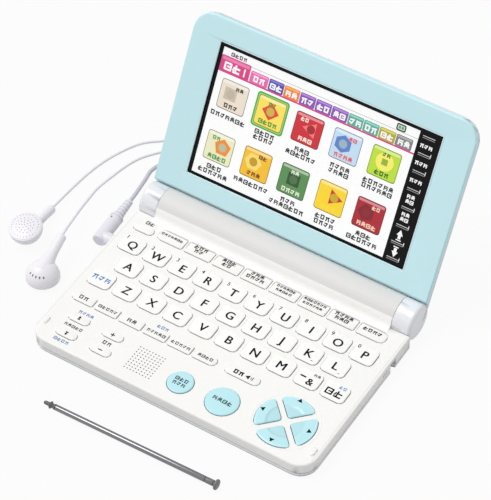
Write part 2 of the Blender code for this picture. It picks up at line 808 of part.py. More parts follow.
def keyboard_deck():
    """The deck's plate and side walls, with the barrel moulded on and a hole for each key."""
    low = PART_LINE + FIT_GAP
    soft = DECK_EDGE * (1 - math.sqrt(0.5))
    rings = (
        base_ring(low, 0.0, AXIS_Y),
        base_ring(DECK_TOP - DECK_EDGE, 0.0, AXIS_Y),
        base_ring(DECK_TOP - soft, soft, AXIS_Y),
        base_ring(DECK_TOP, DECK_EDGE, AXIS_Y),
    )
    deck = cut(loft(rings), *knuckle_room())
    barrel = rod_across(BARREL_RADIUS, -BARREL_HALF, BARREL_HALF, AXIS_Y, AXIS_HEIGHT, BARREL_STEPS)
    deck = fused(deck, barrel)
    deck = fused(deck, sweep())
    wall_x, wall_front = HALF_WIDTH - BASE_WALL, FRONT + BASE_WALL
    inner = BASE_CORNER - BASE_WALL
    room = rounded_box(-wall_x, wall_x, wall_front, CAVITY_REAR, (0, 0, inner, inner))
    deck = cut(deck, prism(room, low - OVERRUN, PLATE_UNDER))
    deck = cut(deck, cover_room())
    deck = cut(deck, bay_bore())
    deck = cut(deck, *mirrored(pin_bore), jack_bore())
    deck = fused(deck, strap_block(low, PLATE_UNDER + DECK_PLATE / 2), *mirrored(bumper))
    deck = cut(deck, strap_notch())
    deck = cut(deck, strap_slot())
    holes = [key_hole(letter_outline, x, y) for _, x, y in letter_places()]
    holes.append(key_hole(round_outline(ENTER_RADIUS), ENTER_X, ENTER_Y))
    holes.append(key_hole(round_outline(BACK_RADIUS), BACK_X, BACK_Y))
    for turn in range(len(PAD_NAMES)):
        spin = Matrix.Rotation(turn * math.pi / 2, 4, "Z")
        hole = placed(key_hole(pad_outline), spin)
        holes.append(placed(hole, Matrix.Translation((PAD_X, PAD_Y, 0))))
    holes += [key_hole(outline) for outline in upper_outlines() + lower_outlines()]
    return cut(deck, *holes, *grille())


def foot_places():
    rear = CAVITY_REAR - FOOT_RADIUS
    front = FRONT + FOOT_INSET
    return [(side * (HALF_WIDTH - FOOT_INSET), y) for side in (-1, 1) for y in (front, rear)]


def foot_groove(x, y):
    """A ring groove round a foot pad that lies flush with the underside."""
    outer = FOOT_RADIUS + FOOT_GROOVE
    ring = turned(((-OVERRUN, outer), (FOOT_GROOVE, outer)), SMALL_STEPS)
    core = turned(((-OVERRUN * 2, FOOT_RADIUS), (FOOT_GROOVE + OVERRUN, FOOT_RADIUS)), SMALL_STEPS)
    return placed(cut(ring, core), Matrix.Translation((x, y, 0)))


def boss_places():
    x = HALF_WIDTH - BASE_WALL - BOSS_INSET
    rear = CAVITY_REAR - BOSS_INSET
    return [(side * x, y) for side in (-1, 1) for y in (FRONT + BASE_WALL + BOSS_INSET, rear)]


def bottom_case():
    """The shallow tray under the deck, which also cradles the front of the battery bay."""
    rear = AXIS_Y + BARREL_RADIUS * math.cos(math.radians(COVER_BOTTOM_DEG)) - FIT_GAP
    soft = FLOOR_EDGE * (1 - math.sqrt(0.5))
    rings = (
        base_ring(0.0, FLOOR_EDGE, rear),
        base_ring(soft, soft, rear),
        base_ring(FLOOR_EDGE, 0.0, rear),
        base_ring(PART_LINE, 0.0, rear),
    )
    case = cut(loft(rings), *knuckle_room())
    wall_x, wall_front = HALF_WIDTH - BASE_WALL, FRONT + BASE_WALL
    inner = BASE_CORNER - BASE_WALL
    room = rounded_box(-wall_x, wall_x, wall_front, CAVITY_REAR, (0, 0, inner, inner))
    case = cut(case, prism(room, FLOOR, PART_LINE + OVERRUN))
    bosses = [
        placed(
            turned(((FLOOR / 2, BOSS_RADIUS), (BOARD_LEVEL - FIT_GAP, BOSS_RADIUS)), SMALL_STEPS),
            Matrix.Translation((x, y, 0)),
        )
        for x, y in boss_places()
    ]
    case = fused(case, strap_block(FLOOR / 2, PART_LINE), *bosses)
    heads = [
        rod_across(
            BARREL_RADIUS + FIT_GAP,
            *sorted((side * (BAY_HALF - FIT_GAP), side * (BARREL_HALF + OVERRUN))),
            AXIS_Y,
            AXIS_HEIGHT,
            BARREL_STEPS,
        )
        for side in (-1, 1)
    ]
    case = cut(case, *heads)
    case = cut(case, bay_bore())
    case = cut(case, jack_bore(), strap_notch())
    return cut(case, *[foot_groove(x, y) for x, y in foot_places()])


def battery_cover():
    """The curved door over the cells, with finger grooves across its back."""
    outer = arc((AXIS_Y, AXIS_HEIGHT), BARREL_RADIUS, COVER_BOTTOM_DEG, COVER_TOP_DEG, BARREL_STEPS // 3)
    inner = arc((AXIS_Y, AXIS_HEIGHT), BORE_RADIUS, COVER_TOP_DEG, COVER_BOTTOM_DEG, BARREL_STEPS // 3)
    half = BAY_HALF - FIT_GAP
    cover = prism_across(outer + inner, -half, half)
    grooves = []
    for i in range(COVER_GRIPS):
        x = (i - (COVER_GRIPS - 1) / 2) * GRIP_PITCH
        groove = turned(((-GRIP_PITCH, GRIP_RADIUS), (GRIP_PITCH, GRIP_RADIUS)), SMALL_STEPS // 2)
        grooves.append(placed(groove, Matrix.Translation((x, AXIS_Y + BARREL_RADIUS, AXIS_HEIGHT))))
    return cut(cover, *grooves)


def battery(side):
    """One cell, its nub towards the right."""
    start = -BATTERY_REACH if side < 0 else FIT_GAP / 2
    body_end = start + BATTERY_LENGTH - BATTERY_NUB
    profile = (
        (start, BATTERY_RADIUS - BATTERY_EDGE),
        (start + BATTERY_EDGE, BATTERY_RADIUS),
        (body_end - BATTERY_EDGE, BATTERY_RADIUS),
        (body_end, BATTERY_RADIUS - BATTERY_EDGE),
        (body_end, BATTERY_NUB_RADIUS),
        (start + BATTERY_LENGTH - FIT_GAP / 2, BATTERY_NUB_RADIUS),
    )
    return placed(turned(profile), Matrix.Translation((0, AXIS_Y, AXIS_HEIGHT)) @ ALONG_X)


def main_board():
    """The circuit board on its four bosses, with the open-topped earphone socket at its left edge."""
    half = HALF_WIDTH - BASE_WALL - BOARD_MARGIN
    front, rear = FRONT + BASE_WALL + BOARD_MARGIN, CAVITY_REAR - BOARD_MARGIN
    top = BOARD_LEVEL + BOARD_THICKNESS
    board = prism(box_outline(-half, half, front, rear), BOARD_LEVEL, top)
    hole = placed(
        turned(((-OVERRUN, SPEAKER_RADIUS + FIT_GAP), (top + OVERRUN, SPEAKER_RADIUS + FIT_GAP))),
        Matrix.Translation((GRILLE_X, GRILLE_Y, 0)),
    )
    wall = -HALF_WIDTH + BASE_WALL + FIT_GAP
    socket = prism(
        box_outline(
            wall, wall + SOCKET_LENGTH, PLUG_Y - SOCKET_WIDTH / 2, PLUG_Y + SOCKET_WIDTH / 2
        ),
        FLOOR + FIT_GAP,
        top,
    )
    board = cut(board, hole)
    return cut(fused(board, socket), jack_bore())


def speaker():
    low = PLATE_UNDER - FIT_GAP - SPEAKER_DEPTH
    profile = (
        (low - SPEAKER_MAGNET_DEPTH, SPEAKER_MAGNET),
        (low, SPEAKER_MAGNET),
        (low, SPEAKER_RADIUS),
        (low + SPEAKER_DEPTH, SPEAKER_RADIUS),
    )
    return placed(turned(profile), Matrix.Translation((GRILLE_X, GRILLE_Y, 0)))


def hinge_pin(side):
    ends = sorted((side * (BARREL_HALF - PIN_IN_BARREL), side * (KNUCKLE_START + PIN_IN_KNUCKLE)))
    profile = (
        (ends[0], PIN_RADIUS - PIN_CHAMFER),
        (ends[0] + PIN_CHAMFER, PIN_RADIUS),
        (ends[1] - PIN_CHAMFER, PIN_RADIUS),
        (ends[1], PIN_RADIUS - PIN_CHAMFER),
    )
    return placed(turned(profile, SMALL_STEPS), ALONG_X)


def make_base(looks):
    add("keyboard_deck", keyboard_deck(), looks["warm_white"])
    add("bottom_case", bottom_case(), looks["cool_white"])
    add("battery_cover", battery_cover(), looks["cool_white"])
    add("battery_left", battery(-1), looks["battery"])
    add("battery_right", battery(1), looks["battery"])
    add("main_board", main_board(), looks["board"])
    add("speaker", speaker(), looks["dark"])


# Lid, modelled about the hinge axis: +Y up the screen, +Z out of the screen


def lid_ring(level, inset, low):
    corners = (LID_CORNER, LID_CORNER, 0, 0)
    half = LID_WIDTH / 2
    outline = rounded_box(-half, half, low - inset, LID_REACH, corners, -inset, CORNER_STEPS * 3)
    return raised(outline, level)


def heel_cut():
    """The round and the chamfer that let the bezel's lower edge pass the barrel and its sweep."""
    half = LID_WIDTH / 2 + OVERRUN
    round_cut = rod_across(HEEL_RADIUS, -half, half, 0, 0, BARREL_STEPS)
    corner = HEEL_RADIUS - HEEL_CHAMFER
    far = HEEL_RADIUS + HEEL_CHAMFER
    outline = (
        (corner, BEZEL_FACE - HEEL_CHAMFER * 2),
        (far + OVERRUN, BEZEL_FACE + OVERRUN),
        (corner, BEZEL_FACE + OVERRUN),
    )
    return round_cut, prism_across(outline, -half, half)


def glass_outline(grow=0.0):
    half, tall = WINDOW_WIDTH / 2 + GLASS_BORDER, WINDOW_HEIGHT / 2 + GLASS_BORDER
    return rounded_box(-half, half, WINDOW_MIDDLE - tall, WINDOW_MIDDLE + tall, (0, 0, 0, 0), grow)


def window_outline(grow=0.0):
    half, tall = WINDOW_WIDTH / 2, WINDOW_HEIGHT / 2
    return rounded_box(
        -half, half, WINDOW_MIDDLE - tall, WINDOW_MIDDLE + tall, (WINDOW_CORNER,) * 4, grow
    )


def lid_bezel():
    """The frame round the screen, hollowed from behind for the display."""
    soft = BEZEL_EDGE * (1 - math.sqrt(0.5))
    rings = (
        lid_ring(BEZEL_BACK, 0.0, 0.0),
        lid_ring(BEZEL_FACE - BEZEL_EDGE, 0.0, 0.0),
        lid_ring(BEZEL_FACE - soft, soft, 0.0),
        lid_ring(BEZEL_FACE, BEZEL_EDGE, 0.0),
    )
    bezel = loft(rings)
    for tool in heel_cut():
        bezel = cut(bezel, tool)
    pocket = prism(glass_outline(FIT_GAP), BEZEL_BACK - OVERRUN, BEZEL_FACE - BEZEL_LIP)
    window = loft(
        (
            raised(window_outline(), BEZEL_FACE - BEZEL_LIP - OVERRUN),
            raised(window_outline(), BEZEL_FACE - WINDOW_CHAMFER),
            raised(window_outline(WINDOW_CHAMFER), BEZEL_FACE),
            raised(window_outline(WINDOW_CHAMFER), BEZEL_FACE + OVERRUN),
        )
    )
    bezel = cut(bezel, pocket)
    return cut(bezel, window)


def knuckle(side):
    """A solid round ear on the cover, its outer edge softened."""
    soft = KNUCKLE_EDGE * (1 - math.sqrt(0.5))
    profile = (
        (KNUCKLE_START, BARREL_RADIUS),
        (KNUCKLE_END - KNUCKLE_EDGE, BARREL_RADIUS),
        (KNUCKLE_END - soft, BARREL_RADIUS - soft),
        (KNUCKLE_END, BARREL_RADIUS - KNUCKLE_EDGE),
    )
    turn = Matrix.Rotation(math.pi / 2 * side, 4, "Y")
    return placed(turned(profile, BARREL_STEPS), turn)


def knuckle_bore(side):
    ends = sorted((side * (KNUCKLE_START - OVERRUN), side * (KNUCKLE_START + PIN_IN_KNUCKLE + FIT_GAP)))
    return rod_across(PIN_RADIUS + FIT_GAP, *ends, 0, 0, SMALL_STEPS)


def lid_cover():
    """The back shell of the lid, which carries the knuckles."""
    half_edge = COVER_EDGE * (1 - math.sqrt(0.5))
    rings = (
        lid_ring(COVER_REAR, COVER_EDGE, 0.0),
        lid_ring(COVER_REAR + half_edge, half_edge, 0.0),
        lid_ring(COVER_REAR + COVER_EDGE, 0.0, 0.0),
        lid_ring(COVER_FRONT, 0.0, 0.0),
    )
    cover = loft(rings)
    clear = rod_across(
        BARREL_RADIUS + FIT_GAP, -KNUCKLE_START, KNUCKLE_START, 0, 0, BARREL_STEPS
    )
    cover = cut(cover, clear)
    cover = fused(cover, *mirrored(knuckle))
    pocket = prism(glass_outline(FIT_GAP), COVER_REAR + COVER_BACK, COVER_FRONT + OVERRUN)
    return cut(cover, pocket, *mirrored(knuckle_bore))


def display_module():
    """The touch glass with its printed border, and the screen bonded behind it."""
    rings = (
        raised(glass_outline(-PANEL_INSET), GLASS_FACE - GLASS_DEPTH - PANEL_DEPTH),
        raised(glass_outline(-PANEL_INSET), GLASS_FACE - GLASS_DEPTH),
        raised(glass_outline(), GLASS_FACE - GLASS_DEPTH),
        raised(glass_outline(), GLASS_FACE),
    )
    return loft(rings)


def make_lid(looks):
    lean = Matrix.Rotation(math.radians(180 - OPEN_DEG), 4, "X")
    axis = empty("lid_axis", Matrix.Translation((0, AXIS_Y, AXIS_HEIGHT)) @ lean)
    add("lid_bezel", lid_bezel(), looks["light_blue"], parent=axis)
    add("lid_cover", lid_cover(), looks["cool_white"], parent=axis)
    add("display_module", display_module(), looks["glass"], parent=axis)
    add("hinge_pin_left", hinge_pin(-1), looks["steel"], parent=axis)
    add("hinge_pin_right", hinge_pin(1), looks["steel"], parent=axis)


# Stylus, modelled along X about the middle of its tube


def stylus_tube():
    half = STYLUS_TUBE / 2
    deep = half - STYLUS_SPIGOT - FIT_GAP
    bores = mirrored(
        lambda side: placed(
            turned(((deep, STYLUS_BORE), (half + OVERRUN, STYLUS_BORE)), SMALL_STEPS),
            Matrix.Rotation(math.pi / 2 * side, 4, "Y"),
        )
    )
    tube = placed(turned(((-half, STYLUS_RADIUS), (half, STYLUS_RADIUS)), SMALL_STEPS), ALONG_X)
    return cut(tube, *bores)


def stylus_tip():
    spigot = STYLUS_BORE - FIT_GAP
    seat = STYLUS_TUBE / 2 + FIT_GAP
    flare = seat + TIP_LENGTH - TIP_FLARE_AT
    profile = (
        (seat - FIT_GAP - STYLUS_SPIGOT, spigot),
        (seat, spigot),
        (seat, STYLUS_RADIUS),
        (flare - TIP_FLARE_LENGTH, TIP_NECK_RADIUS),
        (flare, TIP_FLARE_RADIUS),
        (flare + TIP_FLARE_LENGTH, TIP_NECK_RADIUS),
        (seat + TIP_LENGTH - TIP_POINT_LENGTH, TIP_NECK_RADIUS),
        (seat + TIP_LENGTH, TIP_POINT_RADIUS),
    )
    return placed(turned(profile, SMALL_STEPS), Matrix.Rotation(-math.pi / 2, 4, "Y"))


def stylus_cap():
    spigot = STYLUS_BORE - FIT_GAP
    seat = STYLUS_TUBE / 2 + FIT_GAP
    neck = seat + COLLAR_LENGTH
    head = neck + COLLAR_NECK_LENGTH
    profile = (
        (seat - FIT_GAP - STYLUS_SPIGOT, spigot),
        (seat, spigot),
        (seat, STYLUS_RADIUS),
        (neck, STYLUS_RADIUS),
        (neck, COLLAR_NECK_RADIUS),
        (head, COLLAR_NECK_RADIUS),
        (head, HEAD_RADIUS - HEAD_EDGE),
        (head + HEAD_EDGE, HEAD_RADIUS),
        (head + HEAD_THICKNESS - HEAD_EDGE, HEAD_RADIUS),
        (head + HEAD_THICKNESS, HEAD_RADIUS - HEAD_EDGE),
    )
    return placed(turned(profile, SMALL_STEPS), ALONG_X)


def make_stylus(looks):
    """The stylus rests on its head and the flare of its tip, so it lies slightly nose down."""
    reach = STYLUS_TUBE + TIP_LENGTH + COLLAR_LENGTH
    nose_down = math.atan2(HEAD_RADIUS - TIP_FLARE_RADIUS, reach)
    level = STYLUS_LEVEL - math.tan(nose_down) * (STYLUS_TUBE / 2 + COLLAR_LENGTH)
    place = Matrix.Translation((STYLUS_X, STYLUS_Y, level))
    turn = Matrix.Rotation(math.radians(STYLUS_TURN_DEG), 4, "Z")
    axis = empty("stylus_axis", place @ turn @ Matrix.Rotation(-nose_down, 4, "Y"))
    add("stylus_tube", stylus_tube(), looks["steel"], parent=axis)
    add("stylus_tip", stylus_tip(), looks["grey"], parent=axis)
    add("stylus_cap", stylus_cap(), looks["grey"], parent=axis)


# Earphones


def plug_matrix():
    splay = Matrix.Rotation(math.radians(PLUG_SPLAY_DEG), 4, "Z")
    return Matrix.Translation((PLUG_X, PLUG_Y, PLUG_LEVEL)) @ splay @ Matrix.Rotation(-math.pi / 2, 4, "X")


def plug_profile():
    """The elbow's body, its shoulder and the ribbed relief, along the lead."""
    start = -PLUG_RADIUS
    profile = [
        (start, PLUG_RADIUS - PLUG_ROUND),
        (start + PLUG_ROUND, PLUG_RADIUS),
        (PLUG_BODY - PLUG_SHOULDER, PLUG_RADIUS),
        (PLUG_BODY, RELIEF_RADIUS),
    ]
    pitch = RELIEF_LENGTH / (RELIEF_RIBS * 2)
    for i in range(RELIEF_RIBS * 2):
        share = (i + 1) / (RELIEF_RIBS * 2)
        radius = RELIEF_RADIUS + (RELIEF_END_RADIUS - RELIEF_RADIUS) * share
        if i % 2 == 0:
            radius -= RELIEF_GROOVE * (1 - share)
        profile.append((PLUG_BODY + (i + 1) * pitch, radius))
    return profile


def earphone_plug():
    body = placed(turned(plug_profile(), SMALL_STEPS), plug_matrix())
    face = -HALF_WIDTH - FIT_GAP
    profile = (
        (PLUG_X, PLUG_BOSS_RADIUS),
        (face, PLUG_BOSS_RADIUS),
        (face, PLUG_PIN_RADIUS),
        (face + PLUG_PIN - PLUG_PIN_POINT, PLUG_PIN_RADIUS),
        (face + PLUG_PIN, PLUG_PIN_RADIUS - PLUG_PIN_POINT),
    )
    pin = placed(
        turned(profile, SMALL_STEPS), Matrix.Translation((0, PLUG_Y, PLUG_LEVEL)) @ ALONG_X
    )
    return fused(body, pin)


def on_table(route, level):
    return [(PLUG_X + x * MM, PLUG_Y + y * MM, level) for x, y in route]


def smooth_route(points, spacing, rest):
    """Evenly spaced points on a smooth curve through the route's own points, none lower than its rest level."""
    points = [Vector(point) for point in points]
    ends = [points[0] * 2 - points[1], *points, points[-1] * 2 - points[-2]]
    fine = [points[0]]
    for before, start, end, after in zip(ends, ends[1:], ends[2:], ends[3:]):
        for i in range(1, COIL_POINTS + 1):
            t = i / COIL_POINTS
            fine.append(
                (
                    start * 2
                    + (end - before) * t
                    + (before * 2 - start * 5 + end * 4 - after) * t**2
                    + (start * 3 - before - end * 3 + after) * t**3
                )
                / 2
            )
    lengths = [0.0]
    for a, b in zip(fine, fine[1:]):
        lengths.append(lengths[-1] + (b - a).length)
    count = max(2, round(lengths[-1] / spacing))
    route, k = [], 0
    for i in range(count + 1):
        wanted = lengths[-1] * i / count
        while k < len(fine) - 2 and lengths[k + 1] < wanted:
            k += 1
        share = (wanted - lengths[k]) / (lengths[k + 1] - lengths[k])
        point = fine[k].lerp(fine[k + 1], share)
        point.z = max(point.z, rest)
        route.append(point)
    return route


def cord(name, points, diameter, look, facets=2):
    """A tube with closed ends along the points."""
    curve = bpy.data.curves.new(name, "CURVE")
    curve.dimensions = "3D"
    curve.bevel_depth = diameter / 2
    curve.bevel_resolution = facets
    curve.use_fill_caps = True
    spline = curve.splines.new("POLY")
    spline.points.add(len(points) - 1)
    for knot, point in zip(spline.points, points):
        knot.co = (*point, 1.0)
    made = bpy.data.objects.new(name, curve)
    made.data.materials.append(look)
    bpy.context.collection.objects.link(made)
    return made


def heading(turn_deg):
    turn = math.radians(turn_deg)
    return Vector((math.cos(turn), math.sin(turn), 0))


def coil_end_deg():
    return COIL_START_DEG + 360 * COIL_TURNS


def coil_points():
    """The spare lead: it spirals in, climbs one layer in half a turn and spirals out again."""
    points = []
    steps = round(COIL_TURNS * COIL_POINTS)
    for i in range(steps + 1):
        turns = COIL_TURNS * i / steps
        wound = min(turns, COIL_TURNS - turns)
        climb = min(1.0, max(0.0, (turns - COIL_TURNS / 2) * 2 + 0.5))
        reach = COIL_RADIUS - COIL_PITCH * wound
        out = heading(COIL_START_DEG + 360 * turns) * reach
        points.append(Vector((COIL_X, COIL_Y, COIL_REST + COIL_LAYER * climb)) + out)
    start_run = heading(COIL_START_DEG + 90)
    first = points[0] - start_run * LEAD_DIAMETER
    end_run = heading(coil_end_deg() + 90)
    drop = Vector((0, 0, SPLITTER_LEVEL - COIL_TOP))
    last = points[-1] + end_run * COIL_STUB + drop
    straight = last - end_run * LEAD_DIAMETER
    return [first, *points, straight, last]


def least_gap(points, diameter):
    """The least clear space between one turn and the next."""
    apart = COIL_POINTS // 2
    return min(
        (a - b).length - diameter for i, a in enumerate(points) for b in points[i + apart :]
    )


def splitter(coil_end):
    """The moulding where the lead parts in two."""
    profile = (
        (0, SPLITTER_RADIUS - SPLITTER_EDGE),
        (SPLITTER_EDGE, SPLITTER_RADIUS),
        (SPLITTER_LENGTH - SPLITTER_EDGE, SPLITTER_RADIUS),
        (SPLITTER_LENGTH, SPLITTER_RADIUS - SPLITTER_EDGE / 2),
    )
    run = heading(coil_end_deg() + 90)
    start = coil_end + run * FIT_GAP
    turn = Matrix.Rotation(math.radians(coil_end_deg() + 90), 4, "Z")
    return placed(turned(profile, SMALL_STEPS), Matrix.Translation(start) @ turn @ ALONG_X)


def bud_matrix(x, y, level, stem_deg, drop_deg, face_up):
    """The earpiece's frame: local X along its stem, local Z out of its back or face, whichever is up."""
    stem = Matrix.Rotation(math.radians(stem_deg), 4, "Z")
    drop = Matrix.Rotation(math.radians(drop_deg), 4, "Y")
    flip = Matrix.Identity(4) if face_up else Matrix.Rotation(math.pi, 4, "X")
    return Matrix.Translation((x, y, level)) @ stem @ drop @ flip


def bud(matrix):
    """A round earpiece whose face leans away from its stem, which flares into the domed back."""
    profile = [
        (height * (BUD_BACK_DEPTH if height < 0 else BUD_FACE_DEPTH), radius * BUD_RADIUS)
        for height, radius in BUD_PROFILE_SHARES
    ]
    shell = placed(turned(profile, BUD_STEPS), Matrix.Rotation(-math.radians(BUD_TILT_DEG), 4, "Y"))
    profile = (
        (0, BUD_STEM_RADIUS + BUD_FLARE),
        (BUD_RADIUS / 2, BUD_STEM_RADIUS + BUD_FLARE / 2),
        (BUD_RADIUS, BUD_STEM_RADIUS + BUD_FLARE / 8),
        (BUD_RADIUS + BUD_FLARE, BUD_STEM_RADIUS),
        (BUD_STEM, BUD_STEM_END_RADIUS),
    )
    stem = turned(profile, SMALL_STEPS)
    sink = Matrix.Translation((0, 0, -BUD_STEM_SINK))
    return placed(fused(shell, placed(stem, sink @ ALONG_X)), matrix)


def stem_end(matrix):
    return matrix @ Vector((BUD_STEM + FIT_GAP, 0, -BUD_STEM_SINK))


def stem_run(matrix):
    return (matrix.to_3x3() @ Vector((1, 0, 0))).normalized()


def make_earphones(looks):
    look = looks["lavender"]
    add("earphone_plug", earphone_plug(), look)
    matrix = plug_matrix()
    relief_end = PLUG_BODY + RELIEF_LENGTH + FIT_GAP
    start = matrix @ Vector((0, 0, relief_end))
    leaving = matrix @ Vector((0, 0, relief_end + LEAD_DIAMETER * 2))
    wound = coil_points()
    print("least gap in the coil, mm:", round(least_gap(wound, LEAD_DIAMETER) / MM, 2))
    arriving = wound[0] - heading(COIL_START_DEG + 90) * FIT_GAP
    lead = [
        start,
        leaving,
        *on_table(LEAD_ROUTE, LEAD_LEVEL),
        arriving,
    ]
    cord("earphone_lead", smooth_route(lead, LEAD_DIAMETER * 3, LEAD_LEVEL), LEAD_DIAMETER, look)
    cord("earphone_coil", wound, LEAD_DIAMETER, look, 1)
    add("earphone_splitter", splitter(wound[-1]), look)
    run = heading(coil_end_deg() + 90)
    fork = wound[-1] + run * (SPLITTER_LENGTH + FIT_GAP * 2)
    aside = heading(coil_end_deg() + 180) * BRANCH_SPREAD
    first_matrix = bud_matrix(
        FIRST_BUD_X, FIRST_BUD_Y, FIRST_BUD_LEVEL, FIRST_STEM_HEADING_DEG, FIRST_STEM_DROP_DEG, True
    )
    second_matrix = bud_matrix(
        SECOND_BUD_X, SECOND_BUD_Y, SECOND_BUD_LEVEL, SECOND_STEM_HEADING_DEG, SECOND_STEM_DROP_DEG, False
    )
    first = [
        fork - aside,
        fork - aside + run * BRANCH_DIAMETER * 2,
        *on_table(LEFT_ROUTE, BRANCH_LEVEL),
        stem_end(first_matrix) + stem_run(first_matrix) * BRANCH_DIAMETER * 2,
        stem_end(first_matrix),
    ]
    second = [
        fork + aside,
        fork + aside + run * BRANCH_DIAMETER * 2,
        *on_table(RIGHT_ROUTE, BRANCH_LEVEL),
        stem_end(second_matrix) + stem_run(second_matrix) * BRANCH_DIAMETER * 2,
        stem_end(second_matrix),
    ]
    for name, route in (("earphone_branch_left", first), ("earphone_branch_right", second)):
        cord(name, smooth_route(route, BRANCH_DIAMETER * 3, BRANCH_LEVEL), BRANCH_DIAMETER, look)
    add("earbud_left", bud(first_matrix), look)
    add("earbud_right", bud(second_matrix), look)


def main():
    clear_scene()
    looks = make_materials()
    make_base(looks)
    make_keys(looks)
    make_lid(looks)
    make_stylus(looks)
    make_earphones(looks)


main()
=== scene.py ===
"""Pocket electronic dictionary, lying open on a pale table with its stylus and earphones.

The studio, the cords and their tie are set out in metres, everything else in millimetres."""

import math
from functools import partialmethod

import bmesh
import bpy
from mathutils import Matrix, Vector


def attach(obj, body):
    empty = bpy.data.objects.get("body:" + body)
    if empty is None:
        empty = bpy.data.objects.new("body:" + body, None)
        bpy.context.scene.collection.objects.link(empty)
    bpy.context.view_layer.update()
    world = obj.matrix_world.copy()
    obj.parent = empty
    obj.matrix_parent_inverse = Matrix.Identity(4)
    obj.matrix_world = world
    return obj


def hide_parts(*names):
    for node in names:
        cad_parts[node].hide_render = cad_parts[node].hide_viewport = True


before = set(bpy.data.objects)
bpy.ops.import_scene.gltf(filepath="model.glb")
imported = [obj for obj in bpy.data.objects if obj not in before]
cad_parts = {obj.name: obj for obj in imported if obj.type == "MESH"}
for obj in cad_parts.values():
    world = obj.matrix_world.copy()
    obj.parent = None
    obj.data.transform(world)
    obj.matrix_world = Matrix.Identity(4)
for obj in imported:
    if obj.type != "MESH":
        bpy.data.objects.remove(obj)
bpy.context.view_layer.update()
MM = 0.001

# The studio: a plain white sweep of paper under one large soft lamp, above and a little to the left,
# with an even white sky round it. The camera has a long lens and looks down at the deck from the
# front right.
FLOOR_SIZE = 6.0
FLOOR_TONE = (0.62, 0.62, 0.63, 1)
FLOOR_SHOWN = 0.93
SKY_LEVEL = 0.60
LAMP_LEVEL = 1.46
LAMP_SPREAD_DEG = 34
LAMP_PLACE = Vector((-0.46, -0.14, 0.88))


class Paint:
    """A shader value: operators on it add Math nodes, and node() adds any other node beside it."""

    def __init__(self, tree, socket=None):
        self.tree, self.socket = tree, socket

    def feed(self, made, sockets):
        """Sets a node's inputs to values, or links paint to them."""
        for name, value in sockets.items():
            if isinstance(value, Paint):
                self.tree.links.new(value.socket, made.inputs[name])
            else:
                made.inputs[name].default_value = value

    def node(self, kind, settings, sockets, out=0):
        made = self.tree.nodes.new("ShaderNode" + kind)
        for name, value in settings.items():
            setattr(made, name, value)
        self.feed(made, sockets)
        return Paint(self.tree, made.outputs[out])

    def math(self, operation, *others):
        return self.node("Math", {"operation": operation}, dict(enumerate((self, *others))))

    __add__ = partialmethod(math, "ADD")
    __sub__ = partialmethod(math, "SUBTRACT")
    __mul__ = partialmethod(math, "MULTIPLY")
    __truediv__ = partialmethod(math, "DIVIDE")
    __lt__ = partialmethod(math, "LESS_THAN")
    __gt__ = partialmethod(math, "GREATER_THAN")
    __abs__ = partialmethod(math, "ABSOLUTE")

    def smooth_step(self, low, high):
        """Rises softly from 0 to 1 between two values."""
        sockets = {"Value": self, "From Min": low, "From Max": high, "To Min": 0.0, "To Max": 1.0}
        return self.node("MapRange", {"interpolation_type": "SMOOTHSTEP"}, sockets)

    def place(self, move=(0, 0, 0), scale=(1, 1, 1), turn=(0, 0, 0)):
        """The surface's own coordinates, in metres, scaled, turned and moved."""
        here = self.node("TexCoord", {}, {}, 3)
        return self.node("Mapping", {}, {"Vector": here, "Location": move, "Rotation": turn, "Scale": scale})

    def millimetres(self, move=(0, 0, 0), turn=(0, 0, 0)):
        """The three coordinates of the surface, one by one, in millimetres."""
        place = self.place(move, (1 / MM,) * 3, turn)
        parts = self.node("SeparateXYZ", {}, {"Vector": place}).socket.node.outputs
        return [Paint(self.tree, parts[i]) for i in range(3)]

    def speckle(self, scale, detail=2.0, vector=None):
        where = self.place() if vector is None else vector
        return self.node("TexNoise", {}, {"Vector": where, "Scale": scale, "Detail": detail})

    def mix(self, share, low, high):
        """Two colours mixed."""
        low, high = (colour if isinstance(colour, Paint) else (*colour, 1.0) for colour in (low, high))
        return self.node("Mix", {"data_type": "RGBA"}, {0: share, 6: low, 7: high}, 2)

    def bump(self, height, strength, distance=0.01 * MM):
        return self.node("Bump", {}, {"Height": height, "Strength": strength, "Distance": distance})

    def in_view(self):
        """1 where the camera sees the thing itself, in a mirror or through glass."""
        rays = self.node("LightPath", {}, {}).socket.node.outputs
        kinds = ("Is Camera Ray", "Is Glossy Ray", "Is Transmission Ray")
        seen, mirrored, through = (Paint(self.tree, rays[kind]) for kind in kinds)
        return seen.math("MAXIMUM", mirrored).math("MAXIMUM", through)


def new_look(name):
    """A new material, its paint and its shader."""
    made = bpy.data.materials.new(name)
    made.use_nodes = True
    return made, Paint(made.node_tree), made.node_tree.nodes["Principled BSDF"]


def new_object(name, data):
    made = bpy.data.objects.new(name, data)
    bpy.context.collection.objects.link(made)
    return made


floor_shape = bmesh.new()
bmesh.ops.create_grid(floor_shape, x_segments=1, y_segments=1, size=FLOOR_SIZE / 2)
floor_mesh = bpy.data.meshes.new("floor")
floor_shape.to_mesh(floor_mesh)
floor_shape.free()
floor = new_object("floor", floor_mesh)

paper, paint, shader = new_look("paper")
paint.feed(shader, {"Base Color": FLOOR_TONE, "Roughness": 0.9, "Specular IOR Level": 0.1})
matte = Paint(paper.node_tree, shader.outputs[0])
white = paint.node("Emission", {}, {"Color": (1, 1, 1, 1), "Strength": 1.0})
lit = paint.node("MixShader", {}, {0: paint.in_view() * FLOOR_SHOWN, 1: matte, 2: white})
paint.feed(paper.node_tree.nodes["Material Output"], {"Surface": lit})
floor_mesh.materials.append(paper)

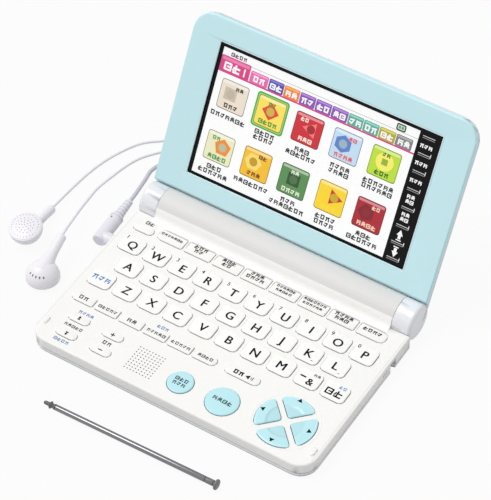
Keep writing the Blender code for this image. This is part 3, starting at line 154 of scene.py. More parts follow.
world = bpy.data.worlds.new("sky")
bpy.context.scene.world = world
world.use_nodes = True
paint = Paint(world.node_tree)
sky_strength = paint.in_view() * (1 - SKY_LEVEL) + SKY_LEVEL
paint.feed(world.node_tree.nodes["Background"], {"Color": (1, 1, 1, 1), "Strength": sky_strength})

light = bpy.data.lights.new("overhead_lamp", "SUN")
light.energy, light.angle = LAMP_LEVEL, math.radians(LAMP_SPREAD_DEG)
new_object("overhead_lamp", light).rotation_euler = LAMP_PLACE.to_track_quat("Z", "Y").to_euler()

LENS = 177.5
SENSOR = 36.0
CAMERA_RIGHT = Vector((0.84294, 0.53776, -0.01668)).normalized()
CAMERA_BACK = Vector((0.36749, -0.55285, 0.74787)).normalized()
CAMERA_PLACE = Vector((401.57, -589.07, 859.89)) * MM
lens = bpy.data.cameras.new("camera")
lens.lens, lens.sensor_width, lens.sensor_fit = LENS, SENSOR, "AUTO"
lens.clip_start, lens.clip_end = 0.05, 20.0
camera = new_object("camera", lens)
camera_up = CAMERA_BACK.cross(CAMERA_RIGHT)
camera_turn = Matrix((CAMERA_RIGHT, camera_up, CAMERA_BACK)).transposed().to_4x4()
camera.matrix_world = Matrix.Translation(CAMERA_PLACE) @ camera_turn
bpy.context.scene.camera = camera
bpy.context.scene.view_settings.view_transform = "Standard"

# The earphone cords: soft vinyl leads, extruded over stranded copper. One 2 mm lead runs from the
# plug round the hinge to its spare length, wound flat behind the lid and held by a paper tie, and
# two 1.3 mm branches run from the splitter back round to the earpieces.
PLUG_PLACE = Vector((-81.0, 16.0, 3.5)) * MM
PLUG_SPLAY_DEG = 3.3
RELIEF_END = 25.5 * MM
TABLE_LIFT = 0.1 * MM
LEAD_DIAMETER = 2.0 * MM
BRANCH_DIAMETER = 1.3 * MM
LEAD_ROUTE = ((-4.0, 41.0), (-5.2, 50.0), (-1.5, 56.6), (8.0, 57.6), (21.0, 56.4))
LEFT_ROUTE = (
    (6.0, 83.6), (-3.5, 76.0), (-11.5, 68.8), (-19.1, 62.6),
    (-24.2, 53.7), (-28.6, 41.0), (-30.9, 25.0),
)
RIGHT_ROUTE = (
    (8.5, 79.8), (-1.0, 70.6), (-8.6, 61.6),
    (-15.4, 51.7), (-19.2, 37.0), (-20.6, 18.9),
)
ROUTE_STEP = 1.5 * MM
COIL_MIDDLE = Vector((-40.0, 90.0, 1.1)) * MM
COIL_TURNS = 9.5
COIL_PITCH = 2.6 * MM
COIL_RADIUS = 12.0 * MM + COIL_PITCH * COIL_TURNS / 4
COIL_LAYER = 2.5 * MM
COIL_POINTS = 36
COIL_START_DEG = 270.0
COIL_OUT_DEG = COIL_START_DEG + 360 * COIL_TURNS + 90
COIL_STUB = 10.0 * MM
SPLITTER_LENGTH = 10.0 * MM
SPLITTER_RADIUS = 2.1 * MM
BRANCH_SPREAD = 0.95 * MM
CORD_GAP = 0.3 * MM
BUD_STEM = 21.0 * MM
BUD_STEM_SINK = 3.6 * MM


def turned(degrees, axis):
    return Matrix.Rotation(math.radians(degrees), 4, axis)


def at(x, y, z=0.0):
    """A move to a place given in millimetres."""
    return Matrix.Translation(Vector((x, y, z)) * MM)


def heading(turn_deg):
    turn = math.radians(turn_deg)
    return Vector((math.cos(turn), math.sin(turn), 0))


def on_table(route, diameter):
    level = diameter / 2 + TABLE_LIFT
    return [Vector((PLUG_PLACE.x + x * MM, PLUG_PLACE.y + y * MM, level)) for x, y in route]


def smooth_route(points, rest):
    """Evenly spaced points on a smooth curve through the route's own points, none below its rest level."""
    ends = [points[0] * 2 - points[1], *points, points[-1] * 2 - points[-2]]
    fine = [points[0]]
    for before, start, end, after in zip(ends, ends[1:], ends[2:], ends[3:]):
        for i in range(1, 25):
            t = i / 24
            bend = before * 2 - start * 5 + end * 4 - after
            twist = start * 3 - before - end * 3 + after
            fine.append((start * 2 + (end - before) * t + bend * t**2 + twist * t**3) / 2)
    lengths = [0.0]
    for a, b in zip(fine, fine[1:]):
        lengths.append(lengths[-1] + (b - a).length)
    count = max(2, round(lengths[-1] / ROUTE_STEP))
    route, k = [], 0
    for i in range(count + 1):
        wanted = lengths[-1] * i / count
        while k < len(fine) - 2 and lengths[k + 1] < wanted:
            k += 1
        point = fine[k].lerp(fine[k + 1], (wanted - lengths[k]) / (lengths[k + 1] - lengths[k]))
        point.z = max(point.z, rest)
        route.append(point)
    return route


def relaxed(points, passes):
    """The route with its short kinks drawn out, both ends held."""
    for _ in range(passes):
        inner = [(a + b * 2 + c) / 4 for a, b, c in zip(points, points[1:], points[2:])]
        points = [points[0], *inner, points[-1]]
    return points


def tone(colour, share):
    """A colour made darker or lighter."""
    return [min(1.0, c * share) for c in colour]


def soft_vinyl(name, colour):
    """Satin vinyl with the faint waviness of an extruded sleeve."""
    made, paint, shader = new_look(name)
    wave = paint.speckle(260.0, 3.0)
    grain = paint.speckle(5200.0, 1.0)
    paint.feed(shader, {
        "Base Color": paint.mix(wave, tone(colour, 0.965), tone(colour, 1.02)),
        "Roughness": wave * 0.12 + 0.38,
        "Normal": paint.bump(grain + wave * 2.0, 0.25, 0.03 * MM),
    })
    return made


def free_cord(name, points, diameter, vinyl):
    """A round sleeve along the points, one open spline with closed ends."""
    curve = bpy.data.curves.new(name, "CURVE")
    curve.dimensions = "3D"
    curve.bevel_depth = diameter / 2
    curve.bevel_resolution = 4
    curve.use_fill_caps = True
    spline = curve.splines.new("POLY")
    spline.points.add(len(points) - 1)
    for knot, point in zip(spline.points, points):
        knot.co = (*point, 1.0)
    spline.use_smooth = True
    curve.materials.append(vinyl)
    made = new_object(name, curve)
    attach(made, "base")
    return made


pale_vinyl = soft_vinyl("pale_vinyl", (0.83, 0.82, 0.87))
grey_vinyl = soft_vinyl("grey_vinyl", (0.60, 0.585, 0.66))

PLUG_MATRIX = Matrix.Translation(PLUG_PLACE) @ turned(PLUG_SPLAY_DEG, "Z") @ turned(-90, "X")
lead_start = PLUG_MATRIX @ Vector((0, 0, RELIEF_END))
leaving = PLUG_MATRIX @ Vector((0, 0, RELIEF_END + LEAD_DIAMETER * 2))

wound = []
for step in range(round(COIL_TURNS * COIL_POINTS) + 1):
    turns = step / COIL_POINTS
    inward = min(turns, COIL_TURNS - turns)
    climb = min(1.0, max(0.0, (turns - COIL_TURNS / 2) * 2 + 0.5))
    reach = heading(COIL_START_DEG + 360 * turns) * (COIL_RADIUS - COIL_PITCH * inward)
    wound.append(COIL_MIDDLE + Vector((0, 0, COIL_LAYER * climb)) + reach)
coil_run = heading(COIL_OUT_DEG)
coil_end = wound[-1] + coil_run * COIL_STUB
coil_end.z = SPLITTER_RADIUS + TABLE_LIFT
wound += [coil_end - coil_run * LEAD_DIAMETER, coil_end]

first_leg = on_table(LEAD_ROUTE, LEAD_DIAMETER)
first_leg[0].z += LEAD_DIAMETER / 4
coil_entry = wound[0] - heading(COIL_START_DEG + 90) * LEAD_DIAMETER
lead_points = smooth_route([lead_start, leaving, *first_leg, coil_entry], LEAD_DIAMETER / 2 + TABLE_LIFT)
lead_points += wound
lead = free_cord("earphone_main_cord", lead_points, LEAD_DIAMETER, grey_vinyl)
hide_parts("earphone_lead", "earphone_coil")


def bud_matrix(x, y, level, stem_deg, drop_deg, over_deg):
    """An earpiece's frame: local X along its stem, local Z out of the face of its speaker."""
    return at(x, y, level) @ turned(stem_deg, "Z") @ turned(drop_deg, "Y") @ turned(over_deg, "X")


LEFT_BUD = bud_matrix(-111.7, -1.7, 8.4, 90.0, 5.2, 0)
RIGHT_BUD = bud_matrix(-90.5, -18.1, 2.8, 97.0, -12.0, 180)
fork = coil_end + coil_run * (SPLITTER_LENGTH + CORD_GAP * 2)
aside = heading(COIL_OUT_DEG + 90) * BRANCH_SPREAD
sides = (("left", LEFT_BUD, LEFT_ROUTE, -aside), ("right", RIGHT_BUD, RIGHT_ROUTE, aside))
for name, bud, route, side in sides:
    stem_end = bud @ Vector((BUD_STEM + CORD_GAP, 0, -BUD_STEM_SINK))
    stem_run = (bud.to_3x3() @ Vector((1, 0, 0))).normalized()
    legs = [fork + side, fork + side + coil_run * BRANCH_DIAMETER * 2]
    legs += on_table(route, BRANCH_DIAMETER)
    legs += [stem_end + stem_run * BRANCH_DIAMETER * 2, stem_end]
    points = relaxed(smooth_route(legs, BRANCH_DIAMETER / 2 + TABLE_LIFT), 4)
    branch = free_cord("earphone_" + name + "_cord", points, BRANCH_DIAMETER, pale_vinyl)
    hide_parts("earphone_branch_" + name)

# The angled plug and the splitter: soft vinyl moulded round the cord's ends. The plug has a ribbed
# sleeve that lets the cord bend, and a plated pin with three contacts in the socket of the board.
PLUG_BODY = 14.8
PLUG_RADIUS = 3.4
PLUG_SEAM = 12.6
ARM_RADIUS = 3.25
PIN_RADIUS = 1.75
PIN_RINGS = (-71.6, -68.4)
RELIEF_LENGTH = 10.4
RELIEF_RADIUS = 2.4
RELIEF_TIP_RADIUS = 1.8
RELIEF_RIBS = 5
RELIEF_GROOVE = 0.55
BASE_SIDE = -74.3
ALONG_X = turned(90, "Y")
AS_IS = Matrix.Identity(4)


def spun(profile, matrix, steps=48, ring=False):
    """(height, radius) pairs spun about Z, closed on the axis or into a ring."""
    shape = bmesh.new()
    pairs = profile if ring else [(profile[0][0], 0.0), *profile, (profile[-1][0], 0.0)]
    rim = [shape.verts.new(Vector((radius, 0, height)) * MM) for height, radius in pairs]
    line = [shape.edges.new(pair) for pair in zip(rim, rim[1:])]
    if ring:
        line.append(shape.edges.new((rim[-1], rim[0])))
    bmesh.ops.spin(
        shape, geom=rim + line, cent=(0, 0, 0), axis=(0, 0, 1), angle=math.tau, steps=steps, use_merge=True
    )
    bmesh.ops.remove_doubles(shape, verts=shape.verts, dist=MM / 10000)
    bmesh.ops.recalc_face_normals(shape, faces=shape.faces)
    bmesh.ops.transform(shape, matrix=matrix, verts=shape.verts)
    return shape


def rounded(shape, geom, width, segments, kind="EDGES"):
    """Rounds edges, or the corners of a flat outline."""
    return bmesh.ops.bevel(
        shape, geom=geom, offset=width * MM, segments=segments, profile=0.5, affect=kind, material=-1
    )["verts"]


def soften(shape, width, segments=3):
    """Rounds every edge that is sharper than 30 degrees."""
    least = math.radians(30)
    sharp = [e for e in shape.edges if len(e.link_faces) == 2 and e.calc_face_angle(0) > least]
    rounded(shape, sharp, width, segments)
    return shape


def finished(name, body, slot, shapes, *nodes, smooth_deg=40):
    """One piece made of (shape, material) pairs, riding on a body."""
    looks, whole = [], bmesh.new()
    for shape, look in shapes:
        if look not in looks:
            looks.append(look)
        for face in shape.faces:
            face.material_index = looks.index(look)
        loose = bpy.data.meshes.new("loose")
        shape.to_mesh(loose)
        shape.free()
        whole.from_mesh(loose)
        bpy.data.meshes.remove(loose)
    mesh = bpy.data.meshes.new(name)
    whole.to_mesh(mesh)
    whole.free()
    for look in looks:
        mesh.materials.append(look)
    mesh.shade_smooth()
    mesh.set_sharp_from_angle(angle=math.radians(smooth_deg))
    made = new_object(name, mesh)
    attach(made, body)
    if nodes:
        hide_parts(*nodes)
    return made


def bare_metal(name, colour, roughness, brushed, depth=0.2):
    """Plated or bare metal with fine marks, stretched along the way it was drawn or turned."""
    made, paint, shader = new_look(name)
    marks = paint.speckle(2400.0, 3.0, paint.place(scale=brushed))
    paint.feed(shader, {
        "Base Color": paint.mix(paint.speckle(180.0), tone(colour, 0.93), colour),
        "Metallic": 1.0,
        "Roughness": marks * 0.10 + roughness,
        "Normal": paint.bump(marks, depth, 0.02 * MM),
    })
    return made


# How dark the painted shade on the sides of keys and along the tray's edge is.
PAINTED_SHADE_TONE = 0.62


def moulded(
    name, colour, roughness, grain=0.2, coat=0.0, mottle=0.02, painted_shade_under=None, specular=0.5
):
    """Injection moulded plastic: a faint flow mottle, a fine spark-eroded grain and uneven sheen.

    Under the given height its colour is painted darker: painted shade on the sides of a key and along the
    bottom edge of the tray."""
    made, paint, shader = new_look(name)
    flow = paint.speckle(55.0, 3.0)
    fine = paint.speckle(7000.0, 2.0)
    shade = paint.mix(flow, tone(colour, 1 - mottle), tone(colour, 1 + mottle / 2))
    if painted_shade_under is not None:
        # Painted shade: the colour is darker below the given height.
        shade = paint.mix(paint.millimetres()[2] < painted_shade_under, shade, tone(colour, PAINTED_SHADE_TONE))
    paint.feed(shader, {
        "Base Color": shade,
        "Roughness": flow * 0.08 + fine * 0.05 + (roughness - 0.06),
        "Coat Weight": coat,
        "Coat Roughness": 0.08,
        "Specular IOR Level": specular,
        "Normal": paint.bump(fine, grain),
    })
    return made


lavender_moulding = moulded("lavender_moulding", (0.80, 0.785, 0.845), 0.34, 0.3)
seam_shadow = moulded("seam_shadow", (0.10, 0.10, 0.11), 0.6)
plated_pin = bare_metal("plated_pin", (0.83, 0.82, 0.78), 0.14, (0.05, 1, 1))
ring_black = moulded("ring_black", (0.02, 0.02, 0.02), 0.4)

seam_floor = PLUG_RADIUS - 0.2
body = spun(
    (
        (-PLUG_RADIUS, PLUG_RADIUS - 0.5), (0.5 - PLUG_RADIUS, PLUG_RADIUS), (PLUG_SEAM, PLUG_RADIUS),
        (PLUG_SEAM + 0.1, seam_floor), (PLUG_SEAM + 0.4, seam_floor), (PLUG_SEAM + 0.5, PLUG_RADIUS),
        (PLUG_BODY - 0.9, PLUG_RADIUS - 0.05), (PLUG_BODY, RELIEF_RADIUS),
    ),
    PLUG_MATRIX,
)
soften(body, 0.3, 4)
rib_pitch = RELIEF_LENGTH / RELIEF_RIBS
ribs = [(PLUG_BODY - 0.4, 1.5)]
for i in range(RELIEF_RIBS):
    start = PLUG_BODY + i * rib_pitch
    radius = RELIEF_RADIUS + (RELIEF_TIP_RADIUS - RELIEF_RADIUS) * i / RELIEF_RIBS
    ribs += [(start, radius - RELIEF_GROOVE), (start + 0.45, radius - RELIEF_GROOVE)]
    ribs += [(start + 0.55, radius), (start + rib_pitch - 0.1, radius - 0.08)]
ribs.append((PLUG_BODY + RELIEF_LENGTH, 1.15))
sleeve = spun(ribs, PLUG_MATRIX)
soften(sleeve, 0.12, 2)
into_side = Matrix.Translation((0, PLUG_PLACE.y, PLUG_PLACE.z)) @ ALONG_X
arm = spun(((PLUG_PLACE.x / MM, ARM_RADIUS), (BASE_SIDE, ARM_RADIUS)), into_side)
soften(arm, 0.3)
pin = spun(((BASE_SIDE - 1, PIN_RADIUS), (-65.4, PIN_RADIUS), (-64.6, 1.2), (-63.3, 0.85)), into_side)
rings = []
for place in PIN_RINGS:
    ends = (place, PIN_RADIUS + 0.03), (place + 0.5, PIN_RADIUS + 0.03)
    rings.append((spun(ends, into_side), ring_black))
dot_place = at(-0.8, 0.1 - PLUG_RADIUS, 10.4) @ turned(90, "X")
dot = spun(((-0.1, 0.42), (0.15, 0.38)), PLUG_MATRIX @ dot_place, 16)
vinyl_parts = [(shape, lavender_moulding) for shape in (body, sleeve, arm)]
plug = finished(
    "plug", "base", "earphone_plastic",
    [*vinyl_parts, (pin, plated_pin), (dot, seam_shadow), *rings], "earphone_plug",
)

barrel = spun(
    ((0, 1.4), (0.6, 2.1), (2.6, 2.1), (2.7, 1.9), (3.1, 1.9), (3.2, 2.1), (9.4, 2.1), (10.0, 1.7)),
    Matrix.Translation(coil_end + coil_run * CORD_GAP) @ turned(COIL_OUT_DEG, "Z") @ ALONG_X,
)
barrel_parts = [(soften(barrel, 0.2), lavender_moulding)]
splitter = finished("splitter", "base", "earphone_plastic", barrel_parts, "earphone_splitter")

# The tie round the wound lead: a strip of white coated paper, wrapped once over all the turns and
# pressed down at its rounded shoulders.
TIE_WIDTH = 5.0 * MM
TIE_FILM = 0.08 * MM
TIE_TURN_DEG = 20
inner = COIL_RADIUS - COIL_PITCH * COIL_TURNS / 2 - LEAD_DIAMETER
outer = COIL_RADIUS + LEAD_DIAMETER
low, high = TIE_FILM / 4, COIL_MIDDLE.z + COIL_LAYER + LEAD_DIAMETER / 2 + TIE_FILM
loop = bmesh.new()
corners = ((inner, low), (outer, low), (outer, high), (inner, high))
strip = [loop.verts.new((x, -TIE_WIDTH / 2, z)) for x, z in corners]
loop.faces.new(strip)
rounded(loop, strip[2:], 1.0, 6, "VERTICES")
pulled = bmesh.ops.extrude_edge_only(loop, edges=loop.edges)["geom"]
pulled = [v for v in pulled if isinstance(v, bmesh.types.BMVert)]
bmesh.ops.translate(loop, verts=pulled, vec=(0, TIE_WIDTH, 0))
ends = [f for f in loop.faces if abs(f.normal.y) > 0.9]
bmesh.ops.delete(loop, geom=ends, context="FACES_ONLY")
bmesh.ops.recalc_face_normals(loop, faces=loop.faces)
bmesh.ops.solidify(loop, geom=loop.faces, thickness=TIE_FILM)
tie_place = Matrix.Translation((COIL_MIDDLE.x, COIL_MIDDLE.y, 0)) @ turned(TIE_TURN_DEG, "Z")
bmesh.ops.transform(loop, matrix=tie_place, verts=loop.verts)
tie_paper = moulded("tie_paper", (0.86, 0.86, 0.86), 0.6, 0.5)
tie = finished("lead_tie", "base", "earphone_plastic", [(loop, tie_paper)])

# The earpieces: each a white moulded shell with a stem that grips its cord. The left one lies face
# up and shows the perforated cap over its speaker, its holes drawn as grey discs of painted shade; the
# right one lies face down and shows its smooth back, with five sound slots in an arc drawn as dark discs of
# painted shade.
BUD_RADIUS = 8.1
BUD_BACK = 8.0
CAP_RISE = 2.2
CAP_FALL = 0.0175
CAP_RINGS = (7.55, 7.0, 6.2, 5.0, 3.6, 2.0, 0.8)
PORES = ((0.0, 1), (1.4, 5), (2.8, 10), (4.2, 15), (6.3, 26))
PORE_RADIUS = 0.25
SLOT_COUNT = 5
SLOT_REACH = 6.2
SLOT_RADIUS = 0.4
SLOT_STEP_DEG = 17
BUD_TILT = turned(-15.0, "Y")
bud_white = moulded("bud_white", (0.89, 0.875, 0.92), 0.34, 0.25)
slot_shade = moulded("slot_shade", (0.13, 0.125, 0.15), 0.7)
pore_shade = moulded("pore_shade", (0.30, 0.285, 0.34), 0.7)


def cap_level(reach):
    """The height of the speaker's cap at a distance from its middle."""
    return CAP_RISE - CAP_FALL * reach**2


def bud_shell(matrix):
    back = []
    for i in range(11):
        turn = math.radians(6 + 7.6 * i)
        back.append((-BUD_BACK * math.cos(turn), BUD_RADIUS * math.sin(turn)))
    rim = (0.1, 8.1), (0.75, 8.05), (0.95, 7.9), (0.97, 7.72)
    face = [(cap_level(reach), reach) for reach in CAP_RINGS]
    return spun([*back, *rim, *face], matrix @ BUD_TILT, 72)


def bud_stem(matrix, *pairs):
    return spun(pairs, matrix @ Matrix.Translation((0, 0, -BUD_STEM_SINK)) @ ALONG_X, 40)


def disc(shape, radius, segments, matrix):
    """A flat round or polygon."""
    return bmesh.ops.create_circle(
        shape, cap_ends=True, radius=radius * MM, segments=segments, matrix=matrix
    )["verts"]


neck = bud_stem(LEFT_BUD, (0.0, 4.4), (4.0, 3.5), (8.0, 2.6), (9.4, 2.3), (9.6, 2.2), (9.8, 2.2))
collar = soften(bud_stem(LEFT_BUD, (9.7, 2.36), (20.4, 2.4), (21.0, 1.9)), 0.25)
parts = [(shape, bud_white) for shape in (bud_shell(LEFT_BUD), neck, collar)]
# Painted shade: grey discs on the cap stand for the shade in its holes.
pores = bmesh.new()
for ring, (reach, count) in enumerate(PORES):
    for i in range(count):
        spoke = math.tau * (i + 0.5 * (ring % 2)) / count
        place = at(reach * math.cos(spoke), reach * math.sin(spoke), cap_level(reach) + 0.03)
        disc(pores, PORE_RADIUS, 8, LEFT_BUD @ BUD_TILT @ place)
parts.append((pores, pore_shade))
left_bud = finished("left_earpiece", "base", "earphone_plastic", parts, "earbud_left")

stem = bud_stem(
    RIGHT_BUD,
    (0.0, 4.7), (2.0, 4.4), (4.0, 4.0), (6.0, 3.5), (8.0, 3.0), (10.0, 2.65), (12.5, 2.45),
    (16.0, 2.4), (20.5, 2.35), (21.0, 1.9),
)
parts = [(bud_shell(RIGHT_BUD), bud_white), (stem, bud_white)]
# Painted shade: dark discs on the back stand for the shade in the sound slots.
slots = bmesh.new()
share = SLOT_REACH / BUD_RADIUS
depth = math.sqrt(1 - share**2)
slope = math.degrees(math.atan2(share, depth * BUD_RADIUS / BUD_BACK))
for i in range(SLOT_COUNT):
    place = turned(180 + (i - (SLOT_COUNT - 1) / 2) * SLOT_STEP_DEG, "Z")
    place = place @ at(SLOT_REACH, 0, -BUD_BACK * depth - 0.05)
    place = place @ turned(-slope, "Y") @ Matrix.Diagonal((1.5, 0.9, 1, 1))
    disc(slots, SLOT_RADIUS, 16, RIGHT_BUD @ BUD_TILT @ place)
parts.append((slots, slot_shade))
right_bud = finished("right_earpiece", "base", "earphone_plastic", parts, "earbud_right")

# The bottom case: a shallow tray in cool white plastic that closes the underside, with four rubber
# pads let into it. Above it lie the green circuit board with its socket and the round speaker.
COOL_WHITE = (0.838, 0.847, 0.880)
TRAY_SHADE_UNDER = 1.5
PAD_PLACES = ((-61.0, -39.75), (61.0, -39.75), (-61.0, 28.75), (61.0, 28.75))
cool_white = moulded("cool_white", COOL_WHITE, 0.26, 0.15, 0.25)
# Painted shade: the tray is darker below TRAY_SHADE_UNDER, a painted contact shadow along its bottom edge.
tray_white = moulded("tray_white", COOL_WHITE, 0.26, 0.15, 0.25, painted_shade_under=TRAY_SHADE_UNDER)
foot_rubber = moulded("foot_rubber", (0.62, 0.63, 0.65), 0.7, 0.6)


def refinish(look, *nodes):
    for node in nodes:
        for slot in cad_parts[node].material_slots:
            slot.material = look


def smoothed(name, body, slot, node, look):
    """A copy of a node with its facets welded, so that its rounds and barrels catch the light evenly."""
    copy = bmesh.new()
    copy.from_mesh(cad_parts[node].data)
    bmesh.ops.remove_doubles(copy, verts=copy.verts, dist=MM / 2000)
    made = finished(name, body, slot, [(copy, look)], node, smooth_deg=26)
    made.modifiers.new("even_normals", "WEIGHTED_NORMAL").keep_sharp = True


smoothed("bottom_tray", "base", "cool_white_plastic", "bottom_case", tray_white)
feet = [(spun(((0.0, 4.2), (0.3, 4.4)), at(x, y, 0.02)), foot_rubber) for x, y in PAD_PLACES]
finished("foot_pads", "base", "cool_white_plastic", feet)

board_green, paint, shader = new_look("board_green")
brick = {"Vector": paint.place(), "Scale": 220.0, "Mortar Size": 0.05}
cells = paint.node("TexBrick", {"offset": 0.37}, brick, 1)
tracks = paint.mix(cells, (0.02, 0.17, 0.07), (0.05, 0.30, 0.13))
paint.feed(shader, {"Base Color": tracks, "Roughness": cells * 0.2 + 0.35})
refinish(board_green, "main_board")
refinish(moulded("speaker_black", (0.05, 0.05, 0.055), 0.5, 0.6), "speaker")

# The two AA cells in the hinge barrel and the curved door over them: the cells have a printed film
# sleeve, the door is moulded in the bottom case's plastic, with finger grooves across its back.
CELL_LENGTH = 50.5
cell_film, paint, shader = new_look("cell_film")
band = (paint.millimetres()[0] / CELL_LENGTH + 0.5).math("FRACT") > 0.72
film = paint.mix(band, (0.03, 0.03, 0.035), (0.62, 0.33, 0.11))
paint.feed(shader, {"Base Color": film, "Roughness": paint.speckle(900.0) * 0.1 + 0.28, "Metallic": 0.6})
refinish(cell_film, "battery_left", "battery_right")
smoothed("battery_lid", "battery_door", "cool_white_plastic", "battery_cover", cool_white)

# The keyboard deck: one warm white moulding with the barrel of the hinge on its rear edge, a hole for
# each key, the speaker's grille and two soft bumper ribs for the lid. A fine line runs along each
# side, and the functions of the keys are printed on it in black and blue.
DECK_TOP = 8.6
PART_LINE = 2.4
SEAM_SHADE = 0.8
SIDE_LINE = 72.7
SIDE_LINE_HALF = 0.07
SIDE_LINE_END = 34
AXIS_BACK = 43.95
AXIS_HEIGHT = 8.9
BARREL_RADIUS = 8.8
BARREL_SHADE = (13.6, 14.4)
SWEEP_FRONT = 31.0
WARM_WHITE = (0.937, 0.929, 0.910)
BARREL_PAINTED_SHADE = (0.755, 0.742, 0.73)
deck_white, paint, shader = new_look("deck_white")
across, along, up = paint.millimetres()
line = abs(abs(across) - SIDE_LINE) < SIDE_LINE_HALF
line = line * (up > DECK_TOP - 0.1) * (along < SIDE_LINE_END)
flow = paint.speckle(40.0, 3.0)
fine = paint.speckle(6500.0, 2.0)
back, rise = along - AXIS_BACK, up - AXIS_HEIGHT
on_barrel = (back * back + rise * rise).math("SQRT") < BARREL_RADIUS + 0.15
upper = up.smooth_step(*BARREL_SHADE)
sweep_highlight = (up > DECK_TOP + 0.05) * (along > SWEEP_FRONT) * (upper < 0.5)
shade = paint.mix(flow, tone(WARM_WHITE, 0.985), tone(WARM_WHITE, 1.01))
shade = paint.mix(line, shade, (0.60, 0.59, 0.57))
# Painted highlight: the concave sweep in front of the barrel is lighter.
shade = paint.mix(sweep_highlight, shade, tone(WARM_WHITE, 1.06))
# Painted shade: the upper part of the barrel is darker, fading in between the BARREL_SHADE heights.
shade = paint.mix(on_barrel * upper, shade, BARREL_PAINTED_SHADE)
# Painted shade: the deck's wall is darker just above the parting line, for the shade in the gap to the tray.
shade = paint.mix(up < PART_LINE + SEAM_SHADE, shade, tone(WARM_WHITE, 0.72))
paint.feed(shader, {
    "Base Color": shade,
    "Roughness": flow * 0.08 + fine * 0.05 + 0.42,
    "Specular IOR Level": 0.35,
    "Normal": paint.bump(fine - line * 4.0, 0.25),
})
smoothed("deck_moulding", "base", "warm_white_plastic", "keyboard_deck", deck_white)

ink_black = moulded("ink_black", (0.007, 0.007, 0.007), 0.6, specular=0.1)
ink_blue = moulded("ink_blue", (0.07, 0.22, 0.52), 0.6, specular=0.1)
PRINT_LIFT = 0.02


def bar(shape, x, y, width, height, level, turn_deg=0.0, frame_matrix=AS_IS):
    """A flat printed bar."""
    place = frame_matrix @ at(x, y, level) @ turned(turn_deg, "Z")
    place = place @ Matrix.Diagonal((width * MM, height * MM, 1, 1))
    return bmesh.ops.create_grid(shape, x_segments=1, y_segments=1, size=0.5, matrix=place)["verts"]


# Each made-up sign is a few bars: (to the right, up, width, height, turn) in shares of its size.
GLYPHS = (
    (
        (0, 0.38, 0.92, 0.17, 0), (-0.28, -0.05, 0.17, 0.82, 0), (0.1, -0.36, 0.62, 0.17, 0),
        (0.3, 0, 0.17, 0.45, 0),
    ),
    (
        (-0.38, 0, 0.17, 0.92, 0), (0.38, 0, 0.17, 0.92, 0), (0, 0.38, 0.8, 0.16, 0),
        (0, -0.38, 0.8, 0.16, 0), (0.1, 0, 0.45, 0.15, 0),
    ),
    (
        (-0.3, 0, 0.17, 0.92, 0), (0.15, 0.3, 0.6, 0.16, 0), (0.15, -0.02, 0.6, 0.16, 0),
        (0.33, -0.3, 0.16, 0.4, -20),
    ),
    ((0, 0.3, 0.92, 0.17, 6), (-0.2, -0.12, 0.17, 0.78, -12), (0.26, -0.12, 0.17, 0.78, 10)),
    (
        (0, -0.38, 0.92, 0.17, 0), (-0.12, 0.08, 0.17, 0.85, 0), (0.22, 0.12, 0.5, 0.16, 0),
        (-0.38, 0, 0.15, 0.5, -15),
    ),
    (
        (0, 0.4, 0.6, 0.16, 0), (0, 0.14, 0.92, 0.16, 0), (-0.3, -0.2, 0.16, 0.5, -18),
        (0.3, -0.2, 0.16, 0.5, 18), (0, -0.1, 0.16, 0.5, 0),
    ),
    ((0, 0.3, 0.8, 0.16, 8), (0.12, -0.05, 0.16, 0.85, -22), (-0.25, -0.2, 0.5, 0.16, -28)),
)


def legend(shape, x, y, level, count, size, start, frame_matrix=AS_IS, weight=1.15):
    """A short row of made-up signs."""
    made = []
    for i in range(count):
        middle = x + (i - (count - 1) / 2) * size * 1.14
        for dx, dy, *bar_sides, turn_deg in GLYPHS[(start + i * 3) % len(GLYPHS)]:
            width, height = (size * side * (weight if side < 0.2 else 1) for side in bar_sides)
            place = middle + dx * size, y + dy * size
            made += bar(shape, *place, width, height, level, turn_deg, frame_matrix)
    return made


def triangle(shape, x, y, width, height, level, turn_deg):
    """A flat printed arrow head that points along +Y before it is turned."""
    spread = Matrix.Diagonal((width / 1.732, height / 1.5, 1, 1))
    disc(shape, 1.0, 3, at(x, y, level) @ turned(turn_deg, "Z") @ spread)


black_prints, blue_prints = bmesh.new(), bmesh.new()
level = DECK_TOP + PRINT_LIFT
legend(black_prints, -63.2, 30.6, level, 2, 2.1, 1)
legend(black_prints, -57.8, -39.4, level, 5, 1.75, 2)
legend(black_prints, -39.5, -39.4, level, 2, 2.15, 0)
legend(blue_prints, -57.0, -30.4, level, 4, 1.8, 3)
legend(blue_prints, -58.0, -48.8, level, 4, 1.8, 1)
legend(blue_prints, -23.0, -18.8, level, 3, 1.8, 4)
prints = [(black_prints, ink_black), (blue_prints, ink_blue)]
finished("deck_prints", "base", "warm_white_plastic", prints)

GRILLE_X, GRILLE_Y = -18.9, -39.65
GRILLE_SIDE = 9
GRILLE_PITCH = 1.64
GRILLE_SHADE_DROP = 0.18
GRILLE_SPOT = 0.39
# Painted shade: dark discs just under the grille's holes, for the shade inside them.
hole_shade_black = moulded("hole_shade_black", (0.05, 0.05, 0.05), 0.9, 0.6)
hole_shade = bmesh.new()
for i in range(GRILLE_SIDE**2):
    x, y = ((step - (GRILLE_SIDE - 1) / 2) * GRILLE_PITCH for step in (i % GRILLE_SIDE, i // GRILLE_SIDE))
    disc(hole_shade, GRILLE_SPOT, 12, at(GRILLE_X + x, GRILLE_Y + y, DECK_TOP - GRILLE_SHADE_DROP))
finished("grille_hole_shade", "base", "dark_plastic", [(hole_shade, hole_shade_black)])

